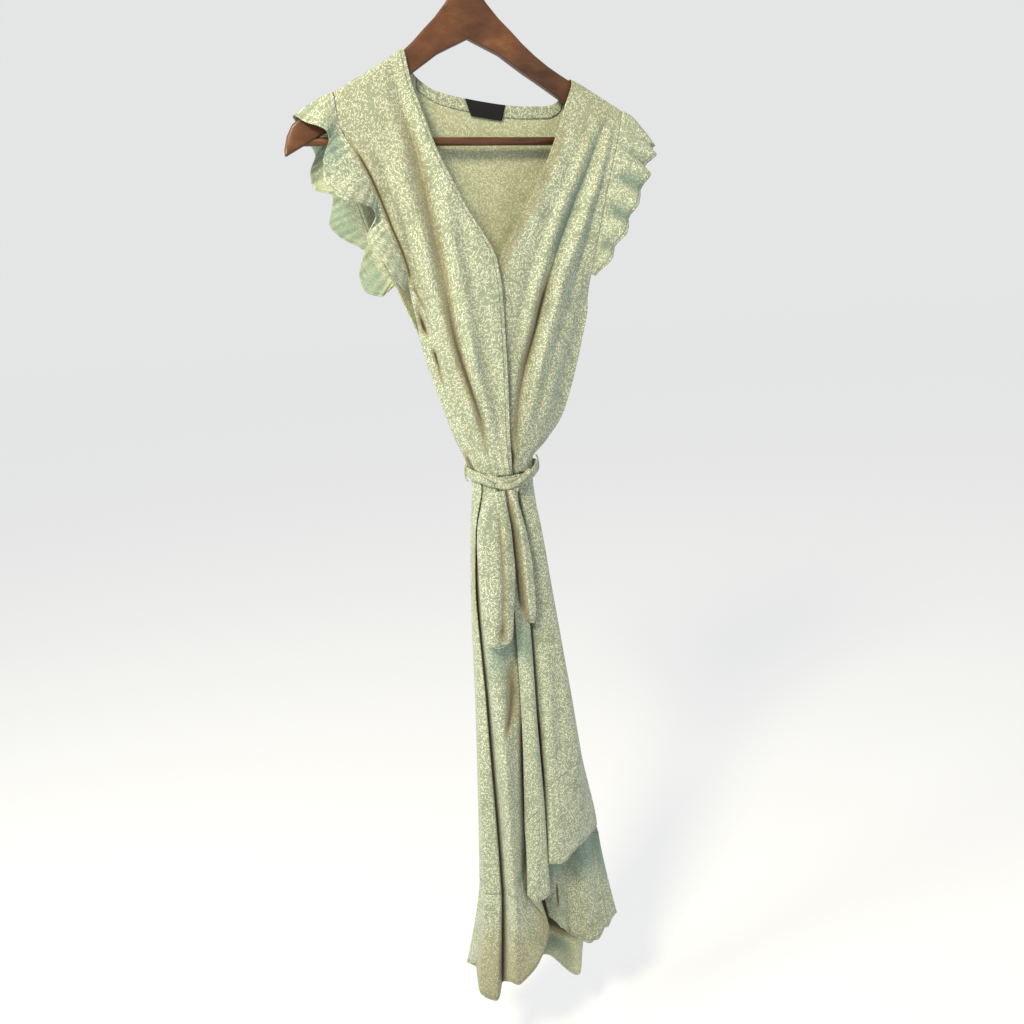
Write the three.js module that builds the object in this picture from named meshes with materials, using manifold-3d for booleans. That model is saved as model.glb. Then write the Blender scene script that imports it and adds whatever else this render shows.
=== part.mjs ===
// A sleeveless wrap dress on its wooden hanger. Millimetres, Z up, the front faces -Y, X to the viewer's right.
// The origin is the point inside the hook where a rail bears.
import * as THREE from "three";
import { mergeVertices } from "three/addons/utils/BufferGeometryUtils.js";
import Module from "manifold-3d";

const wasm = await Module();
wasm.setup();

// Cloth
const CLOTH = 1.1;
const SEAM_GAP = 0.3;
const HEM_SEAM_GAP = 0.6;
const LAY_GAP = 0.7;
const WAIST_Z = -606;

// Hanger
const TILT = THREE.MathUtils.degToRad(1.0);
const ARM_THICK = 12;
const ARM_EDGE = 1.5;
const ARM_HALF_OUTLINE = [
  { x: 13, z: -80 },
  { x: 22, z: -95 },
  { x: 49, z: -122 },
  { x: 61, z: -134 },
  { x: 90, z: -157 },
  { x: 120, z: -174.5 },
  { x: 155, z: -193 },
  { x: 188, z: -211.5 },
  { x: 197, z: -219 },
  { x: 204, z: -232 },
  { x: 207, z: -251 },
  { x: 160, z: -226 },
  { x: 90, z: -182 },
  { x: 30, z: -144 },
];
const ARM_CROWN_Z = -130;
const BAR_Z = -235;
const BAR_RADIUS = 4.5;
const BAR_HALF = 186;
const BAR_CLEARANCE = 0.3;
const HOOK_WIRE = 2;
const HOOK_INNER = 20;
const HOOK_STEM_Z = -100;
const HOOK_CLEARANCE = 0.15;
const HOOK_TIP_TURN = THREE.MathUtils.degToRad(205);

// Shoulder arch of the cloth over the wood
const ARCH_OUT = 8.5;
const ARCH_DROP = 3.2;

// Heights down the bodice: the edges of each piece and how far it stands in front of or behind the wood
const BODICE = [
  { z: -140, overX: -76, underX: 114, front: -8.5, back: 8.5 },
  { z: -173, overX: -72, underX: 113, front: -10, back: 10 },
  { z: -200, overX: -65, underX: 102, front: -13, back: 12.5 },
  { z: -250, overX: -50, underX: 79, front: -18, back: 16 },
  { z: -304, overX: -26, underX: 48, front: -22, back: 19 },
  { z: -366, overX: 5, underX: 8, front: -25.5, back: 22 },
  { z: -405, overX: 8, underX: -6, front: -27, back: 23 },
  { z: -500, overX: 6, underX: -18, front: -27, back: 24 },
  { z: -560, overX: 5, underX: -25, front: -25.5, back: 24 },
  { z: -590, overX: 5, underX: -28, front: -25, back: 24 },
  { z: -606, overX: 5, underX: -28, front: -25, back: 24 },
];
// Armhole edges and side seams: x and the stand-off y of the front and of the back piece at each height
const LEFT_SIDE = [
  { z: -184, frontX: -154, frontY: -8.5, backX: -154, backY: 8.5 },
  { z: -214, frontX: -153, frontY: -13, backX: -153, backY: 12 },
  { z: -239, frontX: -143, frontY: -15, backX: -149, backY: 13 },
  { z: -268, frontX: -129, frontY: -16, backX: -143, backY: 14 },
  { z: -321, frontX: -111, frontY: -16, backX: -128, backY: 14 },
  { z: -366, frontX: -97, frontY: -15, backX: -110, backY: 12 },
  { z: -401, frontX: -88, frontY: -11, backX: -94, backY: 9 },
  { z: -430, frontX: -78, frontY: -4, backX: -79, backY: 3.5 },
  { z: -442, frontX: -74, frontY: 0, backX: -74, backY: 0 },
  { z: -503, frontX: -63, frontY: 0, backX: -63, backY: 0 },
  { z: -555, frontX: -52, frontY: 0, backX: -52, backY: 0 },
  { z: -590, frontX: -41, frontY: 0, backX: -41, backY: 0 },
  { z: -606, frontX: -37.5, frontY: 0, backX: -37.5, backY: 0 },
];
const RIGHT_SIDE = [
  { z: -205.5, frontX: 173, frontY: -8.5, backX: 173, backY: 8.5 },
  { z: -221, frontX: 168, frontY: -13, backX: 173, backY: 12 },
  { z: -246, frontX: 160, frontY: -17, backX: 170, backY: 13 },
  { z: -280, frontX: 149, frontY: -19, backX: 163, backY: 14 },
  { z: -339, frontX: 133, frontY: -18, backX: 149, backY: 13 },
  { z: -385, frontX: 123, frontY: -11, backX: 131, backY: 8 },
  { z: -405, frontX: 121, frontY: -4, backX: 123.5, backY: 3.5 },
  { z: -417, frontX: 121, frontY: 0, backX: 121, backY: 0 },
  { z: -460, frontX: 111, frontY: 0, backX: 111, backY: 0 },
  { z: -505, frontX: 97, frontY: 0, backX: 97, backY: 0 },
  { z: -546, frontX: 80, frontY: 0, backX: 80, backY: 0 },
  { z: -574, frontX: 57, frontY: 0, backX: 57, backY: 0 },
  { z: -592, frontX: 38.5, frontY: 0, backX: 38.5, backY: 0 },
  { z: -606, frontX: 36.5, frontY: 0, backX: 36.5, backY: 0 },
];
// Top edges, from the viewer's left to right; share is the place across the piece
const OVER_TOP = [
  { share: 0, z: -184 },
  { share: 0.25, z: -173.6 },
  { share: 0.5, z: -162.8 },
  { share: 0.75, z: -151.4 },
  { share: 1, z: -140.3 },
];
const UNDER_TOP = [
  { share: 0, z: -171.8 },
  { share: 0.25, z: -178.6 },
  { share: 0.5, z: -186.6 },
  { share: 0.75, z: -195.4 },
  { share: 1, z: -205.5 },
];
const BACK_TOP = [
  { x: -154, y: 0, z: -184 },
  { x: -134, y: 0, z: -173.2 },
  { x: -114, y: 0, z: -162.5 },
  { x: -95, y: 0, z: -151.6 },
  { x: -79, y: 0, z: -141.8 },
  { x: -76, y: 6, z: -140 },
  { x: -73, y: 9, z: -146 },
  { x: -66, y: 10.5, z: -158 },
  { x: -58, y: 11.5, z: -168 },
  { x: -40, y: 12, z: -179.5 },
  { x: -12, y: 12.5, z: -187 },
  { x: 15, y: 12.5, z: -192 },
  { x: 40, y: 12.5, z: -195.5 },
  { x: 65, y: 12.5, z: -197 },
  { x: 88, y: 12, z: -197 },
  { x: 101, y: 11, z: -193 },
  { x: 108, y: 9.5, z: -184 },
  { x: 112, y: 6, z: -171 },
  { x: 115, y: 0, z: -172.2 },
  { x: 129, y: 0, z: -180.6 },
  { x: 144, y: 0, z: -189 },
  { x: 159, y: 0, z: -197.5 },
  { x: 173, y: 0, z: -205.5 },
];
const BACK_FROM_X = BACK_TOP[0].x;
const BACK_WIDE = BACK_TOP[BACK_TOP.length - 1].x - BACK_FROM_X;
// Draped folds of the bodice fronts: where each trough runs, how deep and how wide it is
const OVER_FOLDS = [
  { z: -157, x: -83, deep: 0, wide: 8 },
  { z: -251, x: -70, deep: 3.5, wide: 9 },
  { z: -313, x: -64, deep: 5, wide: 10 },
  { z: -371, x: -55, deep: 5, wide: 10 },
  { z: -434, x: -50, deep: 5, wide: 9 },
  { z: -495, x: -38, deep: 3.5, wide: 8 },
  { z: -553, x: -24, deep: 2, wide: 6 },
  { z: -606, x: -18, deep: 0, wide: 6 },
];
const UNDER_FOLDS = [
  { z: -214, x: 152, deep: 0, wide: 7 },
  { z: -250, x: 134, deep: 4, wide: 8 },
  { z: -282, x: 118, deep: 6, wide: 9 },
  { z: -353, x: 84, deep: 7, wide: 10 },
  { z: -454, x: 46, deep: 6, wide: 9 },
  { z: -520, x: 24, deep: 3.5, wide: 7 },
  { z: -565, x: 17, deep: 1.5, wide: 6 },
  { z: -606, x: 15, deep: 0, wide: 6 },
];
const UNDER_SETBACK = 5.5;
const BACK_GATHERS = 5;
const BACK_GATHER_DEPTH = 2.4;

// Skirt: one row for each fold line, with its x and y at the six heights
const SKIRT_HEIGHTS = [-622, -670, -760, -880, -1000, -1128];
const OVER_SKIRT = [
  { fold: "side seam", x: [-37.5, -42, -47, -52, -58, -64], y: [0, 0, 0, 0, 0, 0] },
  { fold: "column 1", x: [-35, -44, -52, -57, -63, -69], y: [-9, -11, -12, -14, -16, -18] },
  { fold: "crease A", x: [-29, -42, -48, -47.5, -50, -51.5], y: [-16.5, -20, -23, -23, -23, -24] },
  { fold: "column 2", x: [-18, -30, -33, -33, -36, -38], y: [-24.5, -32, -37, -40, -42, -44] },
  { fold: "slope", x: [-9, -16, -17, -17, -20, -26], y: [-25.4, -30, -33, -34, -35, -36] },
  { fold: "crease B, back", x: [-4, -6, -4, -3, -5, -8], y: [-24.8, -25.5, -20, -18, -17, -17] },
  { fold: "crease B, front", x: [-1, -2, -7, -8.5, -12.5, -18], y: [-25, -30, -32.5, -33.5, -34, -35] },
  { fold: "column 3", x: [4, 3, 1, 1, 1, -3], y: [-25.2, -33, -39, -41, -43, -44] },
  { fold: "crease C", x: [10, 12, 11.5, 12.5, 15.5, 10], y: [-24.4, -25, -22, -19, -17, -18] },
  { fold: "column 4", x: [17, 22, 26, 28, 33, 30], y: [-23, -32, -38, -41, -43, -44] },
  { fold: "column 4, side", x: [28, 34, 42, 50, 62, 72], y: [-17.5, -27, -32, -36, -38, -40] },
  { fold: "free edge", x: [35.5, 39, 49, 60, 77, 97], y: [-6, -8, -9, -10, -10, -10] },
];
const UNDER_SKIRT = [
  { fold: "free edge", x: [-22, -22, -18, -10, -2, 6], y: [-17.5, -18, -13, -10, -8, -6] },
  { fold: "column 1", x: [-6, -5, 2, 10, 18, 24], y: [-20.2, -20, -15, -12, -12, -13] },
  { fold: "crease 1", x: [8, 11, 18, 27, 36, 44], y: [-19.6, -19, -13, -8, -5, -3] },
  { fold: "column 2", x: [20, 23, 32, 43, 55, 68], y: [-15.5, -18, -17, -14, -14, -15] },
  { fold: "crease 2", x: [30, 32, 42, 53, 68, 88], y: [-9, -10, -8, -6, -5, -5] },
  { fold: "side seam", x: [36.5, 36, 45, 56, 73, 103], y: [0, 0, 0, 0, 0, 0] },
];
const BACK_SKIRT = [
  { fold: "left side seam", x: [-37.5, -42, -47, -52, -58, -64], y: [0, 0, 0, 0, 0, 0] },
  { fold: "column 1", x: [-34, -41, -50, -56, -62, -70], y: [9.5, 12, 16, 19, 21, 22] },
  { fold: "crease 1", x: [-26, -32, -38, -42, -46, -50], y: [16.5, 16, 13, 12, 12, 12] },
  { fold: "column 2", x: [-14, -18, -22, -24, -26, -28], y: [22.5, 28, 34, 38, 40, 42] },
  { fold: "crease 2", x: [0, -2, -3, -3, -2, -2], y: [24, 22, 18, 15, 14, 14] },
  { fold: "column 3", x: [12, 14, 17, 20, 24, 26], y: [23, 29, 35, 39, 41, 43] },
  { fold: "crease 3", x: [22, 25, 31, 38, 46, 54], y: [18.5, 18, 16, 14, 13, 13] },
  { fold: "column 4", x: [31, 34, 43, 53, 68, 84], y: [12, 16, 21, 25, 27, 28] },
  { fold: "right side seam", x: [36.5, 36, 45, 56, 73, 103], y: [0, 0, 0, 0, 0, 0] },
];
// Hem frills: for each fold line, the height of the gathering seam and where the hem hangs
const OVER_HEM = [
  { seamZ: -1124, x: -84, y: 0, z: -1236 },
  { seamZ: -1130, x: -88, y: -20, z: -1258 },
  { seamZ: -1130, x: -62, y: -27, z: -1250 },
  { seamZ: -1128, x: -42, y: -46, z: -1252 },
  { seamZ: -1112, x: -16, y: -42, z: -1228 },
  { seamZ: -1086, x: 2, y: -19, z: -1190 },
  { seamZ: -1040, x: -17, y: -37, z: -1128 },
  { seamZ: -1022, x: -3, y: -48, z: -1146 },
  { seamZ: -1000, x: 13, y: -22, z: -1120 },
  { seamZ: -984, x: 32, y: -48, z: -1100 },
  { seamZ: -972, x: 68, y: -40, z: -1092 },
  { seamZ: -968, x: 100, y: -12, z: -1076 },
];
const UNDER_HEM = [
  { seamZ: -1066, x: 10, y: -4, z: -1176 },
  { seamZ: -1070, x: 30, y: -17, z: -1206 },
  { seamZ: -1074, x: 44, y: 2, z: -1216 },
  { seamZ: -1082, x: 72, y: -17, z: -1246 },
  { seamZ: -1090, x: 100, y: -3, z: -1236 },
  { seamZ: -1096, x: 117, y: 0, z: -1218 },
];
const BACK_HEM = [
  { seamZ: -1124, x: -84, y: 0, z: -1236 },
  { seamZ: -1134, x: -92, y: 30, z: -1258 },
  { seamZ: -1138, x: -60, y: 12, z: -1262 },
  { seamZ: -1142, x: -34, y: 48, z: -1258 },
  { seamZ: -1146, x: -4, y: 13, z: -1256 },
  { seamZ: -1150, x: 30, y: 46, z: -1290 },
  { seamZ: -1150, x: 62, y: 14, z: -1308 },
  { seamZ: -1126, x: 92, y: 32, z: -1250 },
  { seamZ: -1096, x: 117, y: 0, z: -1218 },
];

// Armhole frills: places along the armhole (z, front or back) and how far the free edge stands out from them
const LEFT_FRILL = [
  { side: -1, z: -384, out: 4, lean: -1, drop: 2 },
  { side: -1, z: -370, out: 12, lean: -5, drop: 8 },
  { side: -1, z: -354, out: 21, lean: -9, drop: 12 },
  { side: -1, z: -337, out: 25, lean: -5, drop: 8 },
  { side: -1, z: -318, out: 23, lean: 5, drop: 3 },
  { side: -1, z: -299, out: 15, lean: -3, drop: 4 },
  { side: -1, z: -280, out: 28, lean: -13, drop: 14 },
  { side: -1, z: -262, out: 38, lean: -14, drop: 20 },
  { side: -1, z: -246, out: 36, lean: -3, drop: 24 },
  { side: -1, z: -231, out: 20, lean: 2, drop: 16 },
  { side: -1, z: -216, out: 12, lean: -9, drop: 16 },
  { side: -1, z: -202, out: 20, lean: -8, drop: 21 },
  { side: -1, z: -188, out: 36, lean: -2, drop: 20 },
  { side: -1, z: -184.9, out: 40, lean: -1, drop: 20 },
  { side: 0, z: -184, out: 41, lean: 0, drop: 20 },
  { side: 1, z: -184.9, out: 40, lean: 1, drop: 20 },
  { side: 1, z: -188, out: 37, lean: 3, drop: 23 },
  { side: 1, z: -204, out: 30, lean: 10, drop: 30 },
  { side: 1, z: -222, out: 24, lean: 4, drop: 22 },
  { side: 1, z: -242, out: 27, lean: 12, drop: 22 },
  { side: 1, z: -264, out: 29, lean: 16, drop: 18 },
  { side: 1, z: -286, out: 18, lean: 5, drop: 12 },
  { side: 1, z: -308, out: 20, lean: 12, drop: 12 },
  { side: 1, z: -330, out: 16, lean: 14, drop: 10 },
  { side: 1, z: -350, out: 17, lean: 4, drop: 12 },
  { side: 1, z: -368, out: 16, lean: 6, drop: 12 },
  { side: 1, z: -384, out: 4, lean: 1, drop: 2 },
];
const RIGHT_FRILL = [
  { side: -1, z: -386, out: 4, lean: -1, drop: 2 },
  { side: -1, z: -368, out: 14, lean: -6, drop: 8 },
  { side: -1, z: -350, out: 19, lean: -2, drop: 10 },
  { side: -1, z: -332, out: 24, lean: -10, drop: 14 },
  { side: -1, z: -314, out: 30, lean: -3, drop: 14 },
  { side: -1, z: -296, out: 30, lean: -12, drop: 18 },
  { side: -1, z: -278, out: 38, lean: -3, drop: 16 },
  { side: -1, z: -262, out: 38, lean: -11, drop: 18 },
  { side: -1, z: -248, out: 36, lean: -3, drop: 20 },
  { side: -1, z: -235, out: 42, lean: -6, drop: 22 },
  { side: -1, z: -222, out: 40, lean: -2, drop: 26 },
  { side: -1, z: -209.5, out: 38, lean: -1, drop: 36 },
  { side: -1, z: -206.4, out: 37.5, lean: 0, drop: 38 },
  { side: 0, z: -205.5, out: 37.5, lean: 0, drop: 38 },
  { side: 1, z: -206.4, out: 37.5, lean: 0, drop: 38 },
  { side: 1, z: -209.5, out: 37, lean: 1, drop: 36 },
  { side: 1, z: -224, out: 36, lean: 5, drop: 30 },
  { side: 1, z: -242, out: 32, lean: 14, drop: 22 },
  { side: 1, z: -262, out: 28, lean: 6, drop: 20 },
  { side: 1, z: -284, out: 24, lean: 16, drop: 18 },
  { side: 1, z: -306, out: 20, lean: 6, drop: 16 },
  { side: 1, z: -328, out: 16, lean: 14, drop: 14 },
  { side: 1, z: -348, out: 12, lean: 4, drop: 10 },
  { side: 1, z: -366, out: 10, lean: 6, drop: 8 },
  { side: 1, z: -384, out: 3, lean: 1, drop: 2 },
];
const FRILL_GAP = 0.9;
const LEFT_SAG = 1.3;
const RIGHT_SAG = 1.7;

// Neck facing and label
const FACING_FROM_X = -56;
const FACING_TO_X = 99;
const FACING_DEEP = 13;
const LABEL_FROM_X = -7;
const LABEL_TO_X = 39;
const LABEL_TAPER = 5;
const LABEL_DEEP = 17;

// Belt
const BELT_RX = 42.4;
const BELT_RY = 30;
const BELT_CENTRE_Y = -0.5;
const BELT_HIGH = 12;
const BELT_THICK = 3.6;
const BELT_Z = -600;
const BELT_SAG = 12;
const LEFT_TAIL = [
  { z: -620, left: -19, right: -7, edgeY: -38.5, deep: 2.5 },
  { z: -636, left: -32, right: -7.5, edgeY: -42, deep: 5 },
  { z: -662, left: -44, right: -7, edgeY: -44.5, deep: 9 },
  { z: -700, left: -48, right: -8, edgeY: -46, deep: 11 },
  { z: -745, left: -51, right: -10, edgeY: -46.5, deep: 11.5 },
  { z: -780, left: -49, right: -15, edgeY: -46.5, deep: 11 },
  { z: -797, left: -42, right: -22, edgeY: -47, deep: 8 },
  { z: -805, left: -36, right: -28, edgeY: -48, deep: 4 },
];
const RIGHT_TAIL = [
  { z: -620, left: -5.5, right: 3, edgeY: -38.5, deep: 2 },
  { z: -645, left: -4, right: 8, edgeY: -41.5, deep: 4 },
  { z: -675, left: -1, right: 14, edgeY: -44, deep: 6 },
  { z: -705, left: 0, right: 17, edgeY: -46, deep: 7 },
  { z: -740, left: -1, right: 17, edgeY: -47, deep: 7 },
  { z: -765, left: 2, right: 16.5, edgeY: -47, deep: 6 },
  { z: -779, left: 6, right: 13, edgeY: -47.5, deep: 3 },
];
const CARRIER_WIRE = 0.9;
const CARRIERS = [
  { name: "belt_carrier_left", x: -41, side: -1 },
  { name: "belt_carrier_right", x: 41, side: 1 },
];

const group = new THREE.Group();
group.name = "wrap_dress_on_hanger";

const MATERIALS = {
  cloth: { color: 0xa9b890, roughness: 0.85 },
  label: { color: 0x111111, roughness: 0.7 },
  wood: { color: 0x4a2412, roughness: 0.4 },
  steel: { color: 0xb9bcc0, roughness: 0.3, metalness: 1 },
};

function addNode(name, geometry, finish) {
  const material = new THREE.MeshStandardMaterial(MATERIALS[finish]);
  material.name = name + "_" + finish;
  const mesh = new THREE.Mesh(geometry, material);
  mesh.name = name;
  group.add(mesh);
}

// A smooth line through the rows of a table: the value of one column at a place along another.
function smooth(places, values, at) {
  const rising = places[places.length - 1] > places[0] ? 1 : -1;
  const last = places.length - 1;
  const u = THREE.MathUtils.clamp(at * rising, places[0] * rising, places[last] * rising);
  let i = 0;
  while (i < last - 1 && places[i + 1] * rising < u) i += 1;
  const span = (places[i + 1] - places[i]) * rising;
  const k = (u - places[i] * rising) / span;
  const slope = (a, b) => (values[b] - values[a]) / ((places[b] - places[a]) * rising);
  const here = slope(i, i + 1);
  const before = i > 0 ? slope(i - 1, i) : here;
  const after = i < last - 1 ? slope(i + 1, i + 2) : here;
  const join = (a, b) => (a * b <= 0 ? 0 : (2 * a * b) / (a + b));
  const m0 = i > 0 ? join(before, here) : here;
  const m1 = i < last - 1 ? join(here, after) : here;
  const k2 = k * k;
  const k3 = k2 * k;
  return (
    (2 * k3 - 3 * k2 + 1) * values[i] +
    (k3 - 2 * k2 + k) * span * m0 +
    (3 * k2 - 2 * k3) * values[i + 1] +
    (k3 - k2) * span * m1
  );
}

function read(table, by, column, at) {
  return smooth(table.map((row) => row[by]), table.map((row) => row[column]), at);
}

const lerp = THREE.MathUtils.lerp;
const range = (n) => Array.from({ length: n + 1 }, (_, i) => i / n);

// The triangles of a grid of points, one closed wall of cloth: mid(s, t) gives the middle of the cloth.
// square(edge, point) names the axis that is taken out of the offset at an edge, so its end face stands square to it.
function wall({ mid, across, down, square = () => undefined, thick = CLOTH }) {
  const columns = across.length;
  const rows = down.length;
  const grid = down.map((t) => across.map((s) => new THREE.Vector3(...mid(s, t))));
  const offset = (i, j) => {
    const west = grid[j][Math.max(0, i - 1)];
    const east = grid[j][Math.min(columns - 1, i + 1)];
    const north = grid[Math.max(0, j - 1)][i];
    const south = grid[Math.min(rows - 1, j + 1)][i];
    const normal = east.clone().sub(west).cross(south.clone().sub(north));
    const axes = [];
    if (i === 0) axes.push(square("start", grid[j][i]));
    if (i === columns - 1) axes.push(square("end", grid[j][i]));
    if (j === 0) axes.push(square("top", grid[j][i]));
    if (j === rows - 1) axes.push(square("bottom", grid[j][i]));
    for (const axis of axes) if (axis) normal[axis] = 0;
    return normal.normalize().multiplyScalar(thick / 2);
  };
  const points = [];
  for (const sign of [1, -1]) {
    for (let j = 0; j < rows; j += 1) {
      for (let i = 0; i < columns; i += 1) {
        points.push(grid[j][i].clone().addScaledVector(offset(i, j), sign));
      }
    }
  }
  const count = rows * columns;
  const faces = [];
  const quad = (a, b, c, d) => faces.push(a, b, c, a, c, d);
  const at = (i, j, side) => side * count + j * columns + i;
  for (let j = 0; j < rows - 1; j += 1) {
    for (let i = 0; i < columns - 1; i += 1) {
      quad(at(i, j, 0), at(i + 1, j, 0), at(i + 1, j + 1, 0), at(i, j + 1, 0));
      quad(at(i, j, 1), at(i, j + 1, 1), at(i + 1, j + 1, 1), at(i + 1, j, 1));
    }
  }
  for (let i = 0; i < columns - 1; i += 1) {
    quad(at(i + 1, 0, 0), at(i, 0, 0), at(i, 0, 1), at(i + 1, 0, 1));
    quad(at(i, rows - 1, 0), at(i + 1, rows - 1, 0), at(i + 1, rows - 1, 1), at(i, rows - 1, 1));
  }
  for (let j = 0; j < rows - 1; j += 1) {
    quad(at(0, j, 0), at(0, j + 1, 0), at(0, j + 1, 1), at(0, j, 1));
    quad(at(columns - 1, j + 1, 0), at(columns - 1, j, 0), at(columns - 1, j, 1), at(columns - 1, j + 1, 1));
  }
  return closed(points, faces);
}

// A geometry from points and faces, turned so that its faces point outwards.
function closed(points, faces) {
  let volume = 0;
  for (let f = 0; f < faces.length; f += 3) {
    const [a, b, c] = [points[faces[f]], points[faces[f + 1]], points[faces[f + 2]]];
    volume += a.dot(b.clone().cross(c));
  }
  const index = volume > 0 ? faces : [...faces].reverse();
  const geometry = new THREE.BufferGeometry();
  geometry.setAttribute("position", new THREE.Float32BufferAttribute(points.flatMap((p) => p.toArray()), 3));
  geometry.setIndex(index);
  geometry.computeVertexNormals();
  return geometry;
}

function solid(geometry) {
  const bare = geometry.clone();
  bare.deleteAttribute("normal");
  bare.deleteAttribute("uv");
  const merged = mergeVertices(bare, 1e-4);
  return new wasm.Manifold(
    new wasm.Mesh({
      numProp: 3,
      vertProperties: new Float32Array(merged.attributes.position.array),
      triVerts: new Uint32Array(merged.index.array),
    }),
  );
}

function geometryOf(manifold) {
  const mesh = manifold.getMesh();
  const geometry = new THREE.BufferGeometry();
  geometry.setAttribute("position", new THREE.BufferAttribute(new Float32Array(mesh.vertProperties), 3));
  geometry.setIndex(new THREE.BufferAttribute(new Uint32Array(mesh.triVerts), 1));
  geometry.computeVertexNormals();
  return geometry;
}

// Hanger: symmetric in its own frame, then turned about the point where the rail bears
function armOutline() {
  const shape = new THREE.Shape();
  const right = ARM_HALF_OUTLINE;
  shape.moveTo(right[0].x, right[0].z);
  for (const p of right.slice(1)) shape.lineTo(p.x, p.z);
  shape.lineTo(0, ARM_CROWN_Z);
  for (const p of [...right].reverse()) shape.lineTo(-p.x, p.z);
  shape.closePath();
  return shape;
}

function upright(geometry) {
  return geometry.rotateX(Math.PI / 2);
}

function hang(geometry) {
  return geometry.rotateY(TILT);
}

const armBlank = new THREE.ExtrudeGeometry(armOutline(), {
  depth: ARM_THICK - 2 * ARM_EDGE,
  bevelEnabled: true,
  bevelThickness: ARM_EDGE,
  bevelSize: ARM_EDGE,
  bevelOffset: -ARM_EDGE,
  bevelSegments: 1,
});
upright(armBlank.translate(0, 0, -(ARM_THICK - 2 * ARM_EDGE) / 2));
const barHole = new THREE.CylinderGeometry(
  BAR_RADIUS + BAR_CLEARANCE,
  BAR_RADIUS + BAR_CLEARANCE,
  2 * (BAR_HALF + BAR_CLEARANCE),
  20,
).rotateZ(Math.PI / 2).translate(0, 0, BAR_Z);
const stemHole = new THREE.CylinderGeometry(
  HOOK_WIRE + HOOK_CLEARANCE,
  HOOK_WIRE + HOOK_CLEARANCE,
  60,
  16,
).rotateX(Math.PI / 2).translate(0, 0, HOOK_STEM_Z - HOOK_CLEARANCE + 30);
const arms = solid(armBlank).subtract(solid(barHole)).subtract(solid(stemHole));
addNode("hanger_arms", hang(geometryOf(arms)), "wood");

const bar = new THREE.CylinderGeometry(BAR_RADIUS, BAR_RADIUS, 2 * BAR_HALF, 20)
  .rotateZ(Math.PI / 2)
  .translate(0, 0, BAR_Z);
addNode("hanger_bar", hang(bar), "wood");

class HookLine extends THREE.Curve {
  getPoint(u, target = new THREE.Vector3()) {
    const radius = HOOK_INNER + HOOK_WIRE;
    const centreZ = -HOOK_INNER;
    const stemTop = centreZ - radius - 12;
    const stem = stemTop - HOOK_STEM_Z;
    const arc = radius * (Math.PI / 2 + HOOK_TIP_TURN);
    const neck = 28;
    const along = u * (stem + neck + arc);
    if (along < stem) return target.set(0, 0, HOOK_STEM_Z + along);
    if (along < stem + neck) {
      const k = (along - stem) / neck;
      const ease = k * k * (3 - 2 * k);
      return target.set(radius * ease, 0, lerp(stemTop, centreZ, k));
    }
    const turn = ((along - stem - neck) / arc) * (Math.PI / 2 + HOOK_TIP_TURN - 0.9);
    return target.set(radius * Math.cos(turn), 0, centreZ + radius * Math.sin(turn));
  }
}
const wireSection = new THREE.Shape().absarc(0, 0, HOOK_WIRE, 0, 2 * Math.PI);
const hook = new THREE.ExtrudeGeometry(wireSection, {
  steps: 30,
  curveSegments: 5,
  extrudePath: new HookLine(),
});
addNode("hanger_hook", hang(hook), "steel");

// How far the cloth stands from the middle of the wood at a depth below its top edge
function arch(depth) {
  const k = 1 - Math.min(depth, ARCH_DROP) / ARCH_DROP;
  return ARCH_OUT * Math.sqrt(1 - k * k);
}

function trough(folds, x, z) {
  const deep = read(folds, "z", "deep", z);
  const off = (x - read(folds, "z", "x", z)) / read(folds, "z", "wide", z);
  return deep * (Math.exp(-off * off) - 0.45 * Math.exp(-((Math.abs(off) - 1.9) ** 2)));
}

// Rises from 0 at an edge to 1 inside the piece, like the quarter of an oval
const shoulderOf = (share) => Math.sin((Math.min(1, Math.max(0, share)) * Math.PI) / 2);

// The oval that the belt draws the cloth into, blended in over the last few centimetres above it
function drawnIn(y, x, z, deep) {
  const left = read(LEFT_SIDE, "z", "frontX", z);
  const right = read(RIGHT_SIDE, "z", "frontX", z);
  const across = (2 * x - left - right) / (right - left);
  const oval = deep * Math.sqrt(Math.max(0, 1 - across * across));
  return lerp(y, oval, THREE.MathUtils.smoothstep(-z, 520, 592));
}

function bodiceOver(s, t) {
  const top = read(OVER_TOP, "share", "z", s);
  const z = lerp(top, WAIST_Z + SEAM_GAP / 2, t);
  const left = read(LEFT_SIDE, "z", "frontX", z);
  const x = lerp(left, read(BODICE, "z", "overX", z), s);
  const edge = read(LEFT_SIDE, "z", "frontY", z);
  const open = lerp(edge, read(BODICE, "z", "front", z), shoulderOf(s / 0.45));
  const hung = open + trough(OVER_FOLDS, x, z) * shoulderOf(s / 0.12) - 1.5 * shoulderOf((s - 0.8) / 0.2);
  const y = Math.max(drawnIn(hung, x, z, -25), -arch(top - z) - Math.max(0, top - z - ARCH_DROP) * 0.35);
  return [x, Math.min(y, -SEAM_GAP / 2), z];
}

function bodiceUnder(s, t) {
  const top = read(UNDER_TOP, "share", "z", s);
  const z = lerp(top, WAIST_Z + SEAM_GAP / 2, t);
  const x = lerp(read(BODICE, "z", "underX", z), read(RIGHT_SIDE, "z", "frontX", z), s);
  const edge = read(RIGHT_SIDE, "z", "frontY", z);
  const behind = UNDER_SETBACK * THREE.MathUtils.smoothstep(-z, 250, 350) * (1 - shoulderOf((s - 0.6) / 0.4));
  const free = lerp(read(BODICE, "z", "front", z) + behind, edge, shoulderOf((s - 0.55) / 0.45) ** 2);
  const hung = free + trough(UNDER_FOLDS, x, z) * (1 - shoulderOf((s - 0.9) / 0.1)) * 0.9;
  const y = Math.max(drawnIn(hung, x, z, -20), -arch(top - z) - Math.max(0, top - z - ARCH_DROP) * 0.35);
  return [x, Math.min(y, -SEAM_GAP / 2), z];
}

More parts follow.
